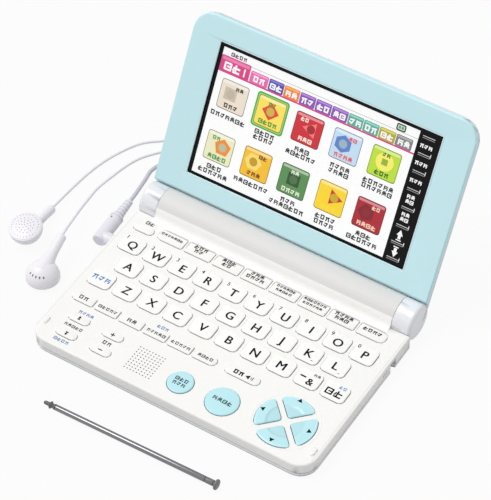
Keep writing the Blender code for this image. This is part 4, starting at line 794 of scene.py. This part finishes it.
# The letter keys: hard caps with a lip that keeps each one under the deck's plate, standing 0.7 mm
# above it on a rubber dome. Their top edges are rounded and the letters are printed on them.
KEY_LOW = 6.1
LIP_TOP = 6.8
KEY_TOP = 9.3
KEY_LIP = 0.6
KEY_EDGE = 0.26
FIRST_COLUMN = -63.0
FIRST_ROW = 15.2
COLUMN_PITCH = 13.86
ROW_PITCH = 12.35
MIDDLE_ROW_SHIFT = 6.6
LETTER_WIDTH = 11.8
LETTER_DEPTH = 9.6
LETTER_CORNER = 2.2
LETTER_HEIGHT = 4.5
FONT_CAPITAL = 0.73
# Painted shade: each cap is darker below 0.3 mm under its top, so that its sides read as shaded.
key_white = moulded("key_white", (0.972, 0.967, 0.955), 0.42, 0.35, painted_shade_under=KEY_TOP - 0.3)
# Painted shade: the lips under the caps are dark, so that the gaps round the keys look shaded.
lip_gap_shade = moulded("lip_gap_shade", (0.22, 0.21, 0.20), 0.6, 0.35)


def raise_face(shape, low, high):
    """Turns a flat outline into a closed block that stands from one level to another."""
    bmesh.ops.translate(shape, verts=shape.verts, vec=(0, 0, low * MM))
    bmesh.ops.remove_doubles(shape, verts=shape.verts, dist=MM / 10000)
    grown = bmesh.ops.extrude_face_region(shape, geom=shape.faces[:])
    lifted = [v for v in grown["geom"] if isinstance(v, bmesh.types.BMVert)]
    bmesh.ops.translate(shape, verts=lifted, vec=(0, 0, (high - low) * MM))
    bmesh.ops.holes_fill(shape, edges=[e for e in shape.edges if e.is_boundary], sides=0)
    bmesh.ops.recalc_face_normals(shape, faces=shape.faces)


def soft_top(shape, high, edge, segments):
    """Rounds the rim of a block's top."""
    level = (high - edge / 4) * MM
    rim = [e for e in shape.edges if all(v.co.z > level for v in e.verts)]
    rounded(shape, rim, edge, segments)


def block(left, right, front, rear, low, high, corners=(), edge=0.0):
    """A slab with rounded corners (rear right, rear left, front left, front right) and a soft top edge."""
    shape = bmesh.new()
    places = ((right, rear), (left, rear), (left, front), (right, front))
    rim = [shape.verts.new((x * MM, y * MM, 0)) for x, y in places]
    shape.faces.new(rim)
    for vert, corner in zip(rim, corners):
        rounded(shape, [vert], corner, 8, "VERTICES")
    raise_face(shape, low, high)
    if edge:
        soft_top(shape, high, edge, 4)
    return shape


def capped(x, y, half, deep, low, high, corner, edge=0.0):
    """A block given by its middle and half its sizes, with four like corners."""
    return block(x - half, x + half, y - deep, y + deep, low, high, (corner,) * 4, edge)


def lettering(shape, text, x, y, level, height, stroke=0.16):
    """A bold printed letter, its capitals of the given height, from the font that Blender has built in."""
    curve = bpy.data.curves.new("letter", "FONT")
    curve.body, curve.size, curve.align_x = text, 1.0, "CENTER"
    flat = new_object("letter", curve)
    bpy.context.view_layer.update()
    scale = Matrix.Diagonal((height * MM / FONT_CAPITAL, height * MM / FONT_CAPITAL, 1, 1))
    for i, (dx, dy) in enumerate(((-stroke, 0), (stroke, 0), (0, stroke / 2), (0, -stroke / 2))):
        mesh = bpy.data.meshes.new_from_object(flat.evaluated_get(bpy.context.evaluated_depsgraph_get()))
        mesh.transform(at(x + dx, y - height / 2 + dy, level + i * PRINT_LIFT / 10) @ scale)
        shape.from_mesh(mesh)
        bpy.data.meshes.remove(mesh)
    bpy.data.objects.remove(flat)


ROWS = (
    (tuple("qwertyuiop"), 0.0),
    (tuple("asdfghjkl"), MIDDLE_ROW_SHIFT),
    (("shift", *"zxcvbnm", "minus", "delete"), 0.0),
)
DIGITS = dict(zip("qwertyuiop", "1234567890"))
level = KEY_TOP + PRINT_LIFT
for row, (names, shift) in enumerate(ROWS):
    for column, name in enumerate(names):
        x = FIRST_COLUMN + shift + column * COLUMN_PITCH
        y = FIRST_ROW - row * ROW_PITCH
        half, deep = LETTER_WIDTH / 2, LETTER_DEPTH / 2
        cap = capped(x, y, half, deep, LIP_TOP, KEY_TOP, LETTER_CORNER, KEY_EDGE)
        half, deep, corner = half + KEY_LIP, deep + KEY_LIP, LETTER_CORNER + KEY_LIP
        lip = capped(x, y, half, deep, KEY_LOW, LIP_TOP, corner)
        black, blue = bmesh.new(), bmesh.new()
        if name in DIGITS:
            lettering(black, name.upper(), x + 0.6, y - 0.2, level, LETTER_HEIGHT)
            lettering(black, DIGITS[name], x - 4.1, y + 3.2, level, 2.1, 0.06)
        elif len(name) == 1:
            lettering(black, name.upper(), x, y + 0.1, level, LETTER_HEIGHT)
            if name == "j":
                bar(black, x, y - 3.1, 1.9, 0.22, level)
            if name in "kl":
                bar(black, x + 3.2, y - 3.1, 1.2, 0.26, level)
        elif name == "shift":
            legend(blue, x, y, level, 3, 2.9, 3)
        elif name == "minus":
            bar(black, x - 2.6, y + 0.1, 3.0, 0.8, level)
            lettering(black, "&", x + 1.6, y - 1.3, level, 3.9)
            legend(black, x + 2.9, y + 3.0, level, 2, 1.6, 2)
        else:
            legend(black, x - 0.2, y - 1.0, level, 2, 3.9, 1)
            legend(blue, x + 2.2, y + 3.1, level, 2, 1.7, 4)
        parts = [(cap, key_white), (lip, lip_gap_shade)]
        parts += [(shape, ink) for shape, ink in ((black, ink_black), (blue, ink_blue)) if shape.faces]
        finished("cap_" + name, "key_" + name, "key_white_plastic", parts, "key_" + name)

# The strip keys and pills: two mats of moulded rubber under the deck, each with its keys standing up
# through it. The upper strip's keys are wedges that stand up at the front and end level with the
# deck, so that only their front edges and the gaps between them show.
MAT_LOW = 6.1
MAT_TOP = 6.8
STRIP_CORNER = 0.5
UPPER_LEFT, UPPER_PITCH, UPPER_WIDTH = -56.2, 15.4, 14.0
UPPER_FRONT, UPPER_REAR, UPPER_END = 24.65, 31.5, 2.6
UPPER_FALL = 0.66
UPPER_LABELS = ((7, 0), (3, 2), (3, 2), (3, 4), (6, 5), (7, 6), (4, 3), (4, 0))
LOWER_LEFT, LOWER_PITCH, LOWER_WIDTH = -69.2, 13.2, 11.8
LOWER_FRONT, LOWER_REAR, LOWER_END = -25.8, -20.8, 2.49
LOWER_LABELS = (2, 5, 2, 5, 5, 4)
POWER_X, POWER_Y = -63.9, 26.2
PAGE_X, VOLUME_X = -58.0, -39.65
PILL_ROWS = (-34.4, -44.4)
PILL_HALF, PILL_DEEP = 5.4, 2.1
VOICE_X, VOICE_Y = 22.0, -22.9
VOICE_HALF, VOICE_DEEP = 8.9, 2.4
# Painted shade: the rubber keys are darker below 0.12 mm above the deck, on their sides.
mat_white = moulded("mat_white", (0.94, 0.932, 0.915), 0.48, 0.4, painted_shade_under=DECK_TOP + 0.12)


def strip(left, pitch, width, front, rear, count, end_corner):
    """A row of keys, with larger corners at its two ends."""
    keys = []
    for i in range(count):
        sides = left + i * pitch, left + i * pitch + width
        near = end_corner if i == 0 else STRIP_CORNER
        far = end_corner if i == count - 1 else STRIP_CORNER
        keys.append(block(*sides, front, rear, MAT_TOP, KEY_TOP, (far, near, near, far), KEY_EDGE))
    return keys


def pill(x, y, half, deep):
    """A key with round ends."""
    return capped(x, y, half, deep, MAT_TOP, KEY_TOP, deep - 0.01, KEY_EDGE)


def web(left, right, front, rear):
    """A flat sheet that joins keys under the deck."""
    return block(left, right, front, rear, MAT_LOW, MAT_TOP)


upper = strip(UPPER_LEFT, UPPER_PITCH, UPPER_WIDTH, UPPER_FRONT, UPPER_REAR, len(UPPER_LABELS), UPPER_END)
upper_inks = bmesh.new()
deep = UPPER_REAR - UPPER_FRONT
for i, (key, (over, under)) in enumerate(zip(upper, UPPER_LABELS)):
    x = UPPER_LEFT + i * UPPER_PITCH + 6.6
    for vert in key.verts:
        if vert.co.z > (DECK_TOP - 1) * MM:
            vert.co.z -= UPPER_FALL * (vert.co.y - UPPER_FRONT * MM) / deep
    for count, dy in ((over, 5.1 if under else 4.0), (under, 2.7)):
        size = 1.5 if count > 4 else 2.15
        flat = level - UPPER_FALL * dy / deep + 0.08
        legend(upper_inks, x, UPPER_FRONT + dy, flat, count, size, i + count)
upper.append(pill(POWER_X, POWER_Y, PILL_HALF, PILL_DEEP))
upper.append(web(-69.9, 67.8, 23.5, 31.85))
parts = [*[(shape, mat_white) for shape in upper], (upper_inks, ink_black)]
finished("upper_mat", "upper_key_mat", "key_rubber", parts, "upper_key_mat")

lower = strip(LOWER_LEFT, LOWER_PITCH, LOWER_WIDTH, LOWER_FRONT, LOWER_REAR, len(LOWER_LABELS), LOWER_END)
inks = bmesh.new()
for i, count in enumerate(LOWER_LABELS):
    x = LOWER_LEFT + i * LOWER_PITCH + LOWER_WIDTH / 2
    legend(inks, x, LOWER_FRONT + 2.5, level, count, 1.8 if count > 2 else 2.3, i)
lower += [pill(x, y, PILL_HALF, PILL_DEEP) for x in (PAGE_X, VOLUME_X) for y in PILL_ROWS]
lower.append(pill(VOICE_X, VOICE_Y, VOICE_HALF, VOICE_DEEP))
for y, way, turn_deg in ((PILL_ROWS[0], 1, 0), (PILL_ROWS[1], -1, 180)):
    for step in (-0.45, 0.65):
        triangle(inks, PAGE_X, y + way * step, 1.7, 1.2, level, turn_deg)
bar(inks, VOLUME_X, PILL_ROWS[0], 2.2, 0.5, level)
bar(inks, VOLUME_X, PILL_ROWS[0], 0.5, 2.2, level + PRINT_LIFT / 2)
bar(inks, VOLUME_X, PILL_ROWS[1], 2.2, 0.5, level)
legend(inks, VOICE_X - 2.0, VOICE_Y, level, 2, 2.4, 0, weight=1.6)
triangle(inks, VOICE_X + 2.9, VOICE_Y, 2.5, 2.1, level, 90)
bar(inks, VOICE_X + 4.5, VOICE_Y, 0.34, 1.3, level)
bar(inks, VOICE_X + 5.3, VOICE_Y, 0.34, 2.1, level)
lower.append(web(-69.8, 31.5, -26.4, -19.9))
lower += [web(x - 6, x + 6, -47.1, -26.3) for x in (PAGE_X, VOLUME_X)]
parts = [*[(shape, mat_white) for shape in lower], (inks, ink_black)]
finished("lower_mat", "lower_key_mat", "key_rubber", parts, "lower_key_mat")

# The round keys and the four quarters of the direction pad: light blue caps with a satin skin, each
# on its own dome. The quarters are dished towards the middle of the pad, and a fine raised ring on
# the deck runs round them.
PAD_X, PAD_Y = 52.0, -34.9
PAD_RADIUS = 14.0
PAD_RIB = 3.0
PAD_DISH = 9.6
PAD_TIP_CORNER, PAD_NOSE_CORNER = 1.6, 1.4
BEAD_RADIUS = PAD_RADIUS + 1.1
BLUE_EDGE = 0.5
BLUE_SHADE_UNDER = KEY_TOP - 0.4
LIGHT_BLUE = (0.515, 0.84, 0.90)
ARROWS = {"right": (63.45, -34.35), "up": (51.5, -22.1), "left": (39.8, -34.2), "down": (51.9, -46.6)}
# Painted shade: the blue caps are darker below BLUE_SHADE_UNDER, on their sides.
pale_blue = moulded("pale_blue", LIGHT_BLUE, 0.30, 0.2, 0.15, painted_shade_under=BLUE_SHADE_UNDER)


def blue_key(name, cap, lip, inks, look):
    soft_top(cap, KEY_TOP, BLUE_EDGE, 5)
    parts = [(cap, look), (lip, lip_gap_shade), (inks, ink_black)]
    finished(name + "_cap", "key_" + name, "light_blue_plastic", parts, "key_" + name)


for name, x, y, radius in (("enter", 22.4, -40.1, 7.8), ("back", 0.9, -40.8, 6.1)):
    cap, lip, inks = bmesh.new(), bmesh.new(), bmesh.new()
    disc(cap, radius, 96, at(x, y))
    raise_face(cap, LIP_TOP, KEY_TOP)
    disc(lip, radius + KEY_LIP, 64, at(x, y))
    raise_face(lip, KEY_LOW, LIP_TOP)
    if name == "enter":
        legend(inks, x, y + 0.1, level, 4, 2.2, 2)
    else:
        legend(inks, x, y + 1.3, level, 3, 2.0, 1)
        legend(inks, x, y - 1.3, level, 3, 2.0, 3)
    blue_key(name, cap, lip, inks, pale_blue)


def quarter(radius, rib, outer, inner, low, high, place):
    """A quarter of the pad, pointing along +X before it is placed."""
    shape = bmesh.new()
    disc(shape, radius, 160, AS_IS)
    for side in (1, -1):
        normal = Vector((-1, side, 0)).normalized()
        everything = shape.verts[:] + shape.edges[:] + shape.faces[:]
        cut = normal * -rib / 2 * MM
        bmesh.ops.bisect_plane(shape, geom=everything, plane_co=cut, plane_no=normal, clear_outer=True)
    bmesh.ops.remove_doubles(shape, verts=shape.verts, dist=MM / 10000)
    nose = min(shape.verts, key=lambda v: v.co.x)
    tips = [max(shape.verts, key=lambda v: v.co.y), min(shape.verts, key=lambda v: v.co.y)]
    close = [v for v in shape.verts if 0 < min((v.co - t.co).length for t in tips) < outer * MM]
    bmesh.ops.dissolve_verts(shape, verts=close)
    for vert, corner in ((nose, inner), (tips[0], outer), (tips[1], outer)):
        rounded(shape, [vert], corner, 6, "VERTICES")
    raise_face(shape, low, high)
    bmesh.ops.transform(shape, matrix=place, verts=shape.verts)
    return shape


dished_blue, paint, shader = new_look("dished_blue")
across, along, up = paint.millimetres((-PAD_X, -PAD_Y, 0))
reach = (across * across + along * along).math("SQRT")
dish = reach.smooth_step(PAD_DISH - 1.8, PAD_DISH)
fine = paint.speckle(7000.0)
# Painted shade: the dish towards the middle of the pad is darker.
shade = paint.mix(dish, tone(LIGHT_BLUE, 0.93), LIGHT_BLUE)
# Painted highlight: a lighter band along the outer rim of the quarters.
shade = paint.mix(reach > PAD_RADIUS - 0.9, shade, tone(LIGHT_BLUE, 1.08))
# Painted shade on the sides of the quarters.
shade = paint.mix(up < BLUE_SHADE_UNDER, shade, tone(LIGHT_BLUE, PAINTED_SHADE_TONE))
paint.feed(shader, {
    "Base Color": shade,
    "Roughness": fine * 0.08 + 0.22,
    "Coat Weight": 0.3,
    "Coat Roughness": 0.08,
    "Normal": paint.bump(dish + fine * 0.02, 1.0, 0.5 * MM),
})

bead = (
    (DECK_TOP, BEAD_RADIUS), (DECK_TOP + 0.1, BEAD_RADIUS + 0.15), (DECK_TOP + 0.1, BEAD_RADIUS + 0.45),
    (DECK_TOP, BEAD_RADIUS + 0.6),
)
bead_parts = [(spun(bead, at(PAD_X, PAD_Y), 96, ring=True), deck_white)]
finished("pad_seat", "base", "warm_white_plastic", bead_parts)

for i, (name, (x, y)) in enumerate(ARROWS.items()):
    place = at(PAD_X, PAD_Y) @ turned(i * 90, "Z")
    tip, nose = PAD_TIP_CORNER, PAD_NOSE_CORNER
    cap = quarter(PAD_RADIUS, PAD_RIB, tip, nose, LIP_TOP, KEY_TOP, place)
    tip, nose = tip + KEY_LIP, nose + KEY_LIP
    lip = quarter(PAD_RADIUS + KEY_LIP, PAD_RIB - 2 * KEY_LIP, tip, nose, KEY_LOW, LIP_TOP, place)
    inks = bmesh.new()
    triangle(inks, x, y, 2.5, 2.0, level, i * 90 - 90)
    blue_key(name, cap, lip, inks, dished_blue)

# The lid: a cool white back shell with the two round knuckles, and a light blue bezel with a fine
# satin skin snapped over it. Two steel pins carry it in the ends of the barrel.
bezel_blue = moulded("bezel_blue", (0.60, 0.875, 0.925), 0.34, 0.25, 0.1)
pin_steel = bare_metal("pin_steel", (0.72, 0.72, 0.74), 0.25, (0.1, 1, 1))
smoothed("lid_shell", "lid", "cool_white_plastic", "lid_cover", cool_white)
smoothed("screen_bezel", "lid", "light_blue_plastic", "lid_bezel", bezel_blue)
refinish(pin_steel, "hinge_pin_left", "hinge_pin_right")

# The display: black-bordered touch glass bonded over a colour liquid crystal panel. The picture is
# a menu of ten plain signs with a row of tabs, and a column of touch marks is printed beside it.
# Its places are measured across and up the lid.
LID_MATRIX = at(0, AXIS_BACK, AXIS_HEIGHT) @ turned(60.6, "X")
GLASS_FACE = -1.9
LAYER = 0.012
MENU_LEFT, MENU_RIGHT = -56.2, 46.7
border_glass = moulded("border_glass", (0.004, 0.004, 0.0045), 0.30, 0.02, 0.0, 0.0, specular=0.12)
refinish(border_glass, "display_module")

picture = bmesh.new()
ink_layer = picture.loops.layers.float_color.new("ink")


def tinted(made, colour):
    """Colours the faces that the given points belong to, with display values from 0 to 255."""
    ink = [((c / 255 + 0.055) / 1.055) ** 2.4 if c > 10 else c / 255 / 12.92 for c in colour]
    for vert in made:
        for corner in vert.link_loops:
            corner[ink_layer] = (*ink, 1.0)


def patch(left, right, low, high, colour, layer, corner=0.0):
    """A filled rectangle of the picture."""
    middle = (left + right) / 2, (low + high) / 2
    level = GLASS_FACE + layer * LAYER
    made = bar(picture, *middle, right - left, high - low, level, 0.0, LID_MATRIX)
    if corner:
        made = rounded(picture, made, corner, 4, "VERTICES")
    tinted(made, colour)


def sign(x, v, radius, points, colour, layer, turn_deg, squash=1.0):
    """A filled polygon or round of the picture."""
    place = LID_MATRIX @ at(x, v, GLASS_FACE + layer * LAYER)
    place = place @ Matrix.Diagonal((1, squash, 1, 1)) @ turned(turn_deg, "Z")
    tinted(disc(picture, radius, points, place), colour)


def caption(x, v, count, size, colour, layer, start):
    """A row of made-up signs on the picture."""
    level = GLASS_FACE + layer * LAYER
    tinted(legend(picture, x, v, level, count, size, start, LID_MATRIX, 1.45), colour)


WHITE = (255, 255, 255)
GREY = (150, 150, 152)
BLACK = (12, 12, 14)
PINK = (218, 62, 132)
CHARGE = (90, 160, 100)
patch(MENU_LEFT, MENU_RIGHT, 21.0, 83.6, WHITE, 1)
caption(-47.6, 81.4, 4, 1.9, BLACK, 2, 1)
patch(35.2, 40.0, 79.7, 83.0, BLACK, 2, 0.8)
patch(35.8, 39.4, 80.3, 82.4, (206, 226, 206), 3, 0.4)
patch(36.3, 37.4, 80.7, 82.0, CHARGE, 4)
patch(37.8, 38.9, 80.7, 82.0, CHARGE, 4)
patch(MENU_LEFT, MENU_RIGHT, 79.4, 79.6, GREY, 2)
patch(MENU_LEFT, MENU_RIGHT, 71.9, 72.7, PINK, 2)
patch(MENU_LEFT, -40.4, 72.0, 80.0, PINK, 3, 0.7)
patch(-55.6, -41.0, 77.9, 79.4, (236, 128, 176), 4, 0.5)
caption(-49.6, 75.3, 2, 4.0, WHITE, 5, 1)
patch(-43.4, -42.7, 73.4, 77.2, WHITE, 5)
TABS = (
    (-39.9, -30.4, (232, 106, 166)), (-30.0, -22.1, (78, 72, 168)), (-21.8, -13.7, (240, 130, 44)),
    (-13.4, -5.3, (134, 84, 178)), (-5.0, 3.1, (134, 84, 178)), (3.4, 11.7, (134, 84, 178)),
    (12.0, 19.6, (92, 170, 152)), (19.9, 27.7, (92, 170, 152)), (28.0, 36.3, (178, 168, 48)),
    (36.6, 44.9, (128, 128, 130)),
)
for i, (left, right, colour) in enumerate(TABS):
    patch(left, right, 72.7, 78.2, colour, 2, 0.6)
    patch(left + 0.5, right - 0.5, 77.0, 77.8, [min(255, c + 50) for c in colour], 3, 0.3)
    caption((left + right) / 2, 74.9, 2, 2.9, WHITE, 4, i)

TILE_COLUMNS = (-45.5, -25.4, -5.4, 14.7, 34.7)
TILE_ROWS = (55.2, 29.5)
TILES = (
    ((238, 226, 208), (206, 190, 166), 4, 45.0, (40, 34, 30)),
    ((252, 226, 90), (226, 70, 50), 4, 0.0, (60, 150, 60)),
    ((206, 34, 48), (240, 120, 120), 3, 90.0, (255, 236, 226)),
    ((196, 222, 244), (90, 130, 200), 6, 0.0, (236, 90, 80)),
    ((188, 224, 52), (248, 240, 110), 32, 0.0, (30, 100, 30)),
    ((236, 236, 196), (240, 140, 40), 5, 0.0, (70, 150, 60)),
    ((246, 190, 40), (250, 220, 110), 6, 30.0, (110, 60, 10)),
    ((84, 140, 78), (40, 78, 44), 4, 45.0, (236, 240, 220)),
    ((250, 214, 40), (206, 40, 44), 3, 30.0, (252, 226, 60)),
    ((172, 22, 40), (128, 12, 30), 5, 90.0, (250, 214, 190)),
)
for i, (ground, motif, points, turn_deg, spot) in enumerate(TILES):
    x, low = TILE_COLUMNS[i % 5], TILE_ROWS[i // 5]
    side = (i % 3 - 1) * 1.6
    edge, shine, deep = ([round(c * share + lift) for c in ground] for share, lift in (
        (0.55, 0), (0.5, 127.5), (0.8, 0),
    ))
    patch(x - 7.3, x + 7.3, low, low + 14.4, edge, 4, 1.3)
    patch(x - 7.0, x + 7.0, low + 0.4, low + 14.1, ground, 5, 1.1)
    patch(x - 6.6, x + 6.6, low + 12.6, low + 13.8, shine, 6, 0.5)
    sign(x + side, low + 8.0, 4.5, points, motif, 6, turn_deg, 0.94)
    sign(x + side, low + 8.0, 2.1, 32 if points < 32 else 4, deep, 7, 45.0)
    caption(x, low + 2.3, 3 + i % 2, 2.2, spot, 8, i)
    caption(x - side * 1.6, low + 11.4, 2, 1.9, spot, 8, i + 2)
patch(-33.9, -16.9, 54.0, 70.8, (66, 172, 60), 2, 1.6)
patch(-33.2, -17.6, 54.7, 70.1, (150, 214, 120), 3, 1.2)
CAPTION_ROWS = (
    (52.1, (7, 4, 3, 4, 6), 0), (49.4, (0, 4, 6, 4, 6), 3),
    (26.7, (3, 7, 3, 4, 3), 1), (23.9, (6, 0, 7, 4, 6), 4),
)
for i, x in enumerate(TILE_COLUMNS):
    for v, counts, start in CAPTION_ROWS:
        caption(x, v, counts[i], 2.35, BLACK, 2, i + start)

for v in (81.7, 73.5, 65.0, 56.3, 47.1, 38.3, 30.0, 22.2):
    patch(48.4, 54.6, v + 0.3, v + 0.6, (214, 214, 214), 1)
    patch(48.4, 54.6, v - 0.6, v - 0.3, (150, 150, 150), 1)
    if v < 80:
        patch(54.5, 54.8, v - 0.2, v + 1.6, WHITE, 1)
for v in (77.6, 69.3, 60.8):
    caption(51.4, v, 3, 1.9, WHITE, 1, 3)
for v in (51.8, 43.0):
    caption(51.4, v + 1.25, 2, 1.9, WHITE, 1, 2)
    caption(51.4, v - 1.25, 2, 1.9, WHITE, 1, 5)
for head, stem_low, foot_low, turn_deg in ((34.9, 32.3, 31.4, 0.0), (25.1, 25.6, 28.0, 180.0)):
    sign(51.6, head, 1.8, 3, WHITE, 1, turn_deg)
    patch(50.9, 52.3, stem_low, stem_low + 2.1, WHITE, 1)
    patch(50.3, 52.9, foot_low, foot_low + 0.5, WHITE, 1)

WINDOW_HALF = 58.15
WINDOW_LOW, WINDOW_HIGH = 19.6, 85.6
HIGHLIGHT_WIDTH = 0.45
HIGHLIGHT_LEVEL = -0.66
# Painted highlight: four pale blue bars round the window stand for the light caught by the bezel's chamfer.
window_highlight = moulded("window_highlight", (0.74, 0.90, 0.93), 0.3, 0.2)
highlight_bars = bmesh.new()
for v in (WINDOW_LOW - HIGHLIGHT_WIDTH / 2, WINDOW_HIGH + HIGHLIGHT_WIDTH / 2):
    bar(highlight_bars, 0, v, WINDOW_HALF * 2 + HIGHLIGHT_WIDTH * 2, HIGHLIGHT_WIDTH, HIGHLIGHT_LEVEL, 0.0, LID_MATRIX)
window_middle = (WINDOW_LOW + WINDOW_HIGH) / 2
for x in (-WINDOW_HALF - HIGHLIGHT_WIDTH / 2, WINDOW_HALF + HIGHLIGHT_WIDTH / 2):
    bar(highlight_bars, x, window_middle, HIGHLIGHT_WIDTH, WINDOW_HIGH - WINDOW_LOW, HIGHLIGHT_LEVEL, 0.0, LID_MATRIX)
finished("window_edge", "lid", "light_blue_plastic", [(highlight_bars, window_highlight)])

PIXEL = 0.24
PIXEL_GAP = 0.12
lit_screen, paint, shader = new_look("lit_screen")
ink = paint.node("Attribute", {"attribute_name": "ink"}, {})
to_lid, lid_turn, _ = LID_MATRIX.inverted().decompose()
across, up, _ = paint.millimetres(to_lid / MM, lid_turn.to_euler())
gaps = [(place / PIXEL).math("FRACT") < PIXEL_GAP for place in (across, up)]
grid = gaps[0].math("MAXIMUM", gaps[1])
shade = paint.mix(grid * 0.10, ink, (0.0, 0.0, 0.0))
paint.feed(shader, {
    "Base Color": shade,
    "Emission Color": shade,
    "Emission Strength": 0.12,
    "Roughness": grid * 0.1 + 0.30,
})
finished("screen_picture", "lid", "screen_panel", [(picture, lit_screen)])

# The stylus: a drawn chrome tube with a dark grey nylon tip pressed into one end and a collar with
# a flat head in the other. It lies loose in front of the dictionary on its head and its tip's flare.
STYLUS_MATRIX = at(-2.4, -76.2, 2.258) @ turned(1.2, "Z") @ turned(-0.456, "Y")
TUBE_HALF = 38.8
TUBE_RADIUS = 1.4
tube_chrome = bare_metal("tube_chrome", (0.21, 0.21, 0.22), 0.10, (0.04, 1, 1), 0.1)
tip_grey = moulded("tip_grey", (0.115, 0.115, 0.12), 0.42, 0.4)
cap_grey = moulded("cap_grey", (0.17, 0.17, 0.18), 0.40, 0.4)
towards_head = STYLUS_MATRIX @ ALONG_X
seat = at(0, 0, TUBE_HALF + 0.1)
tube = soften(spun(((-TUBE_HALF, TUBE_RADIUS), (TUBE_HALF, TUBE_RADIUS)), towards_head), 0.15)
finished("stylus_barrel", "stylus", "chrome_tube", [(tube, tube_chrome)], "stylus_tube")
tip = (
    (0, 1.1), (0.1, 1.4), (0.9, 1.25), (1.6, 0.95), (2.3, 1.5), (2.6, 1.8), (3.0, 1.5), (3.5, 0.95),
    (5.0, 0.9), (5.7, 0.85), (6.1, 0.6), (6.3, 0.3),
)
point = spun(tip, STYLUS_MATRIX @ turned(-90, "Y") @ seat, 40)
finished("stylus_point", "stylus", "grey_plastic", [(point, tip_grey)], "stylus_tip")
head = (
    (0, 1.1), (0.15, 1.4), (4.1, 1.4), (4.2, 1.0), (4.9, 1.0), (5.0, 2.2), (5.3, 2.48), (5.9, 2.5),
    (6.2, 2.3), (6.35, 1.6),
)
knob = soften(spun(head, towards_head @ seat, 40), 0.1, 2)
finished("stylus_head", "stylus", "grey_plastic", [(knob, cap_grey)], "stylus_cap")

bpy.context.view_layer.update()
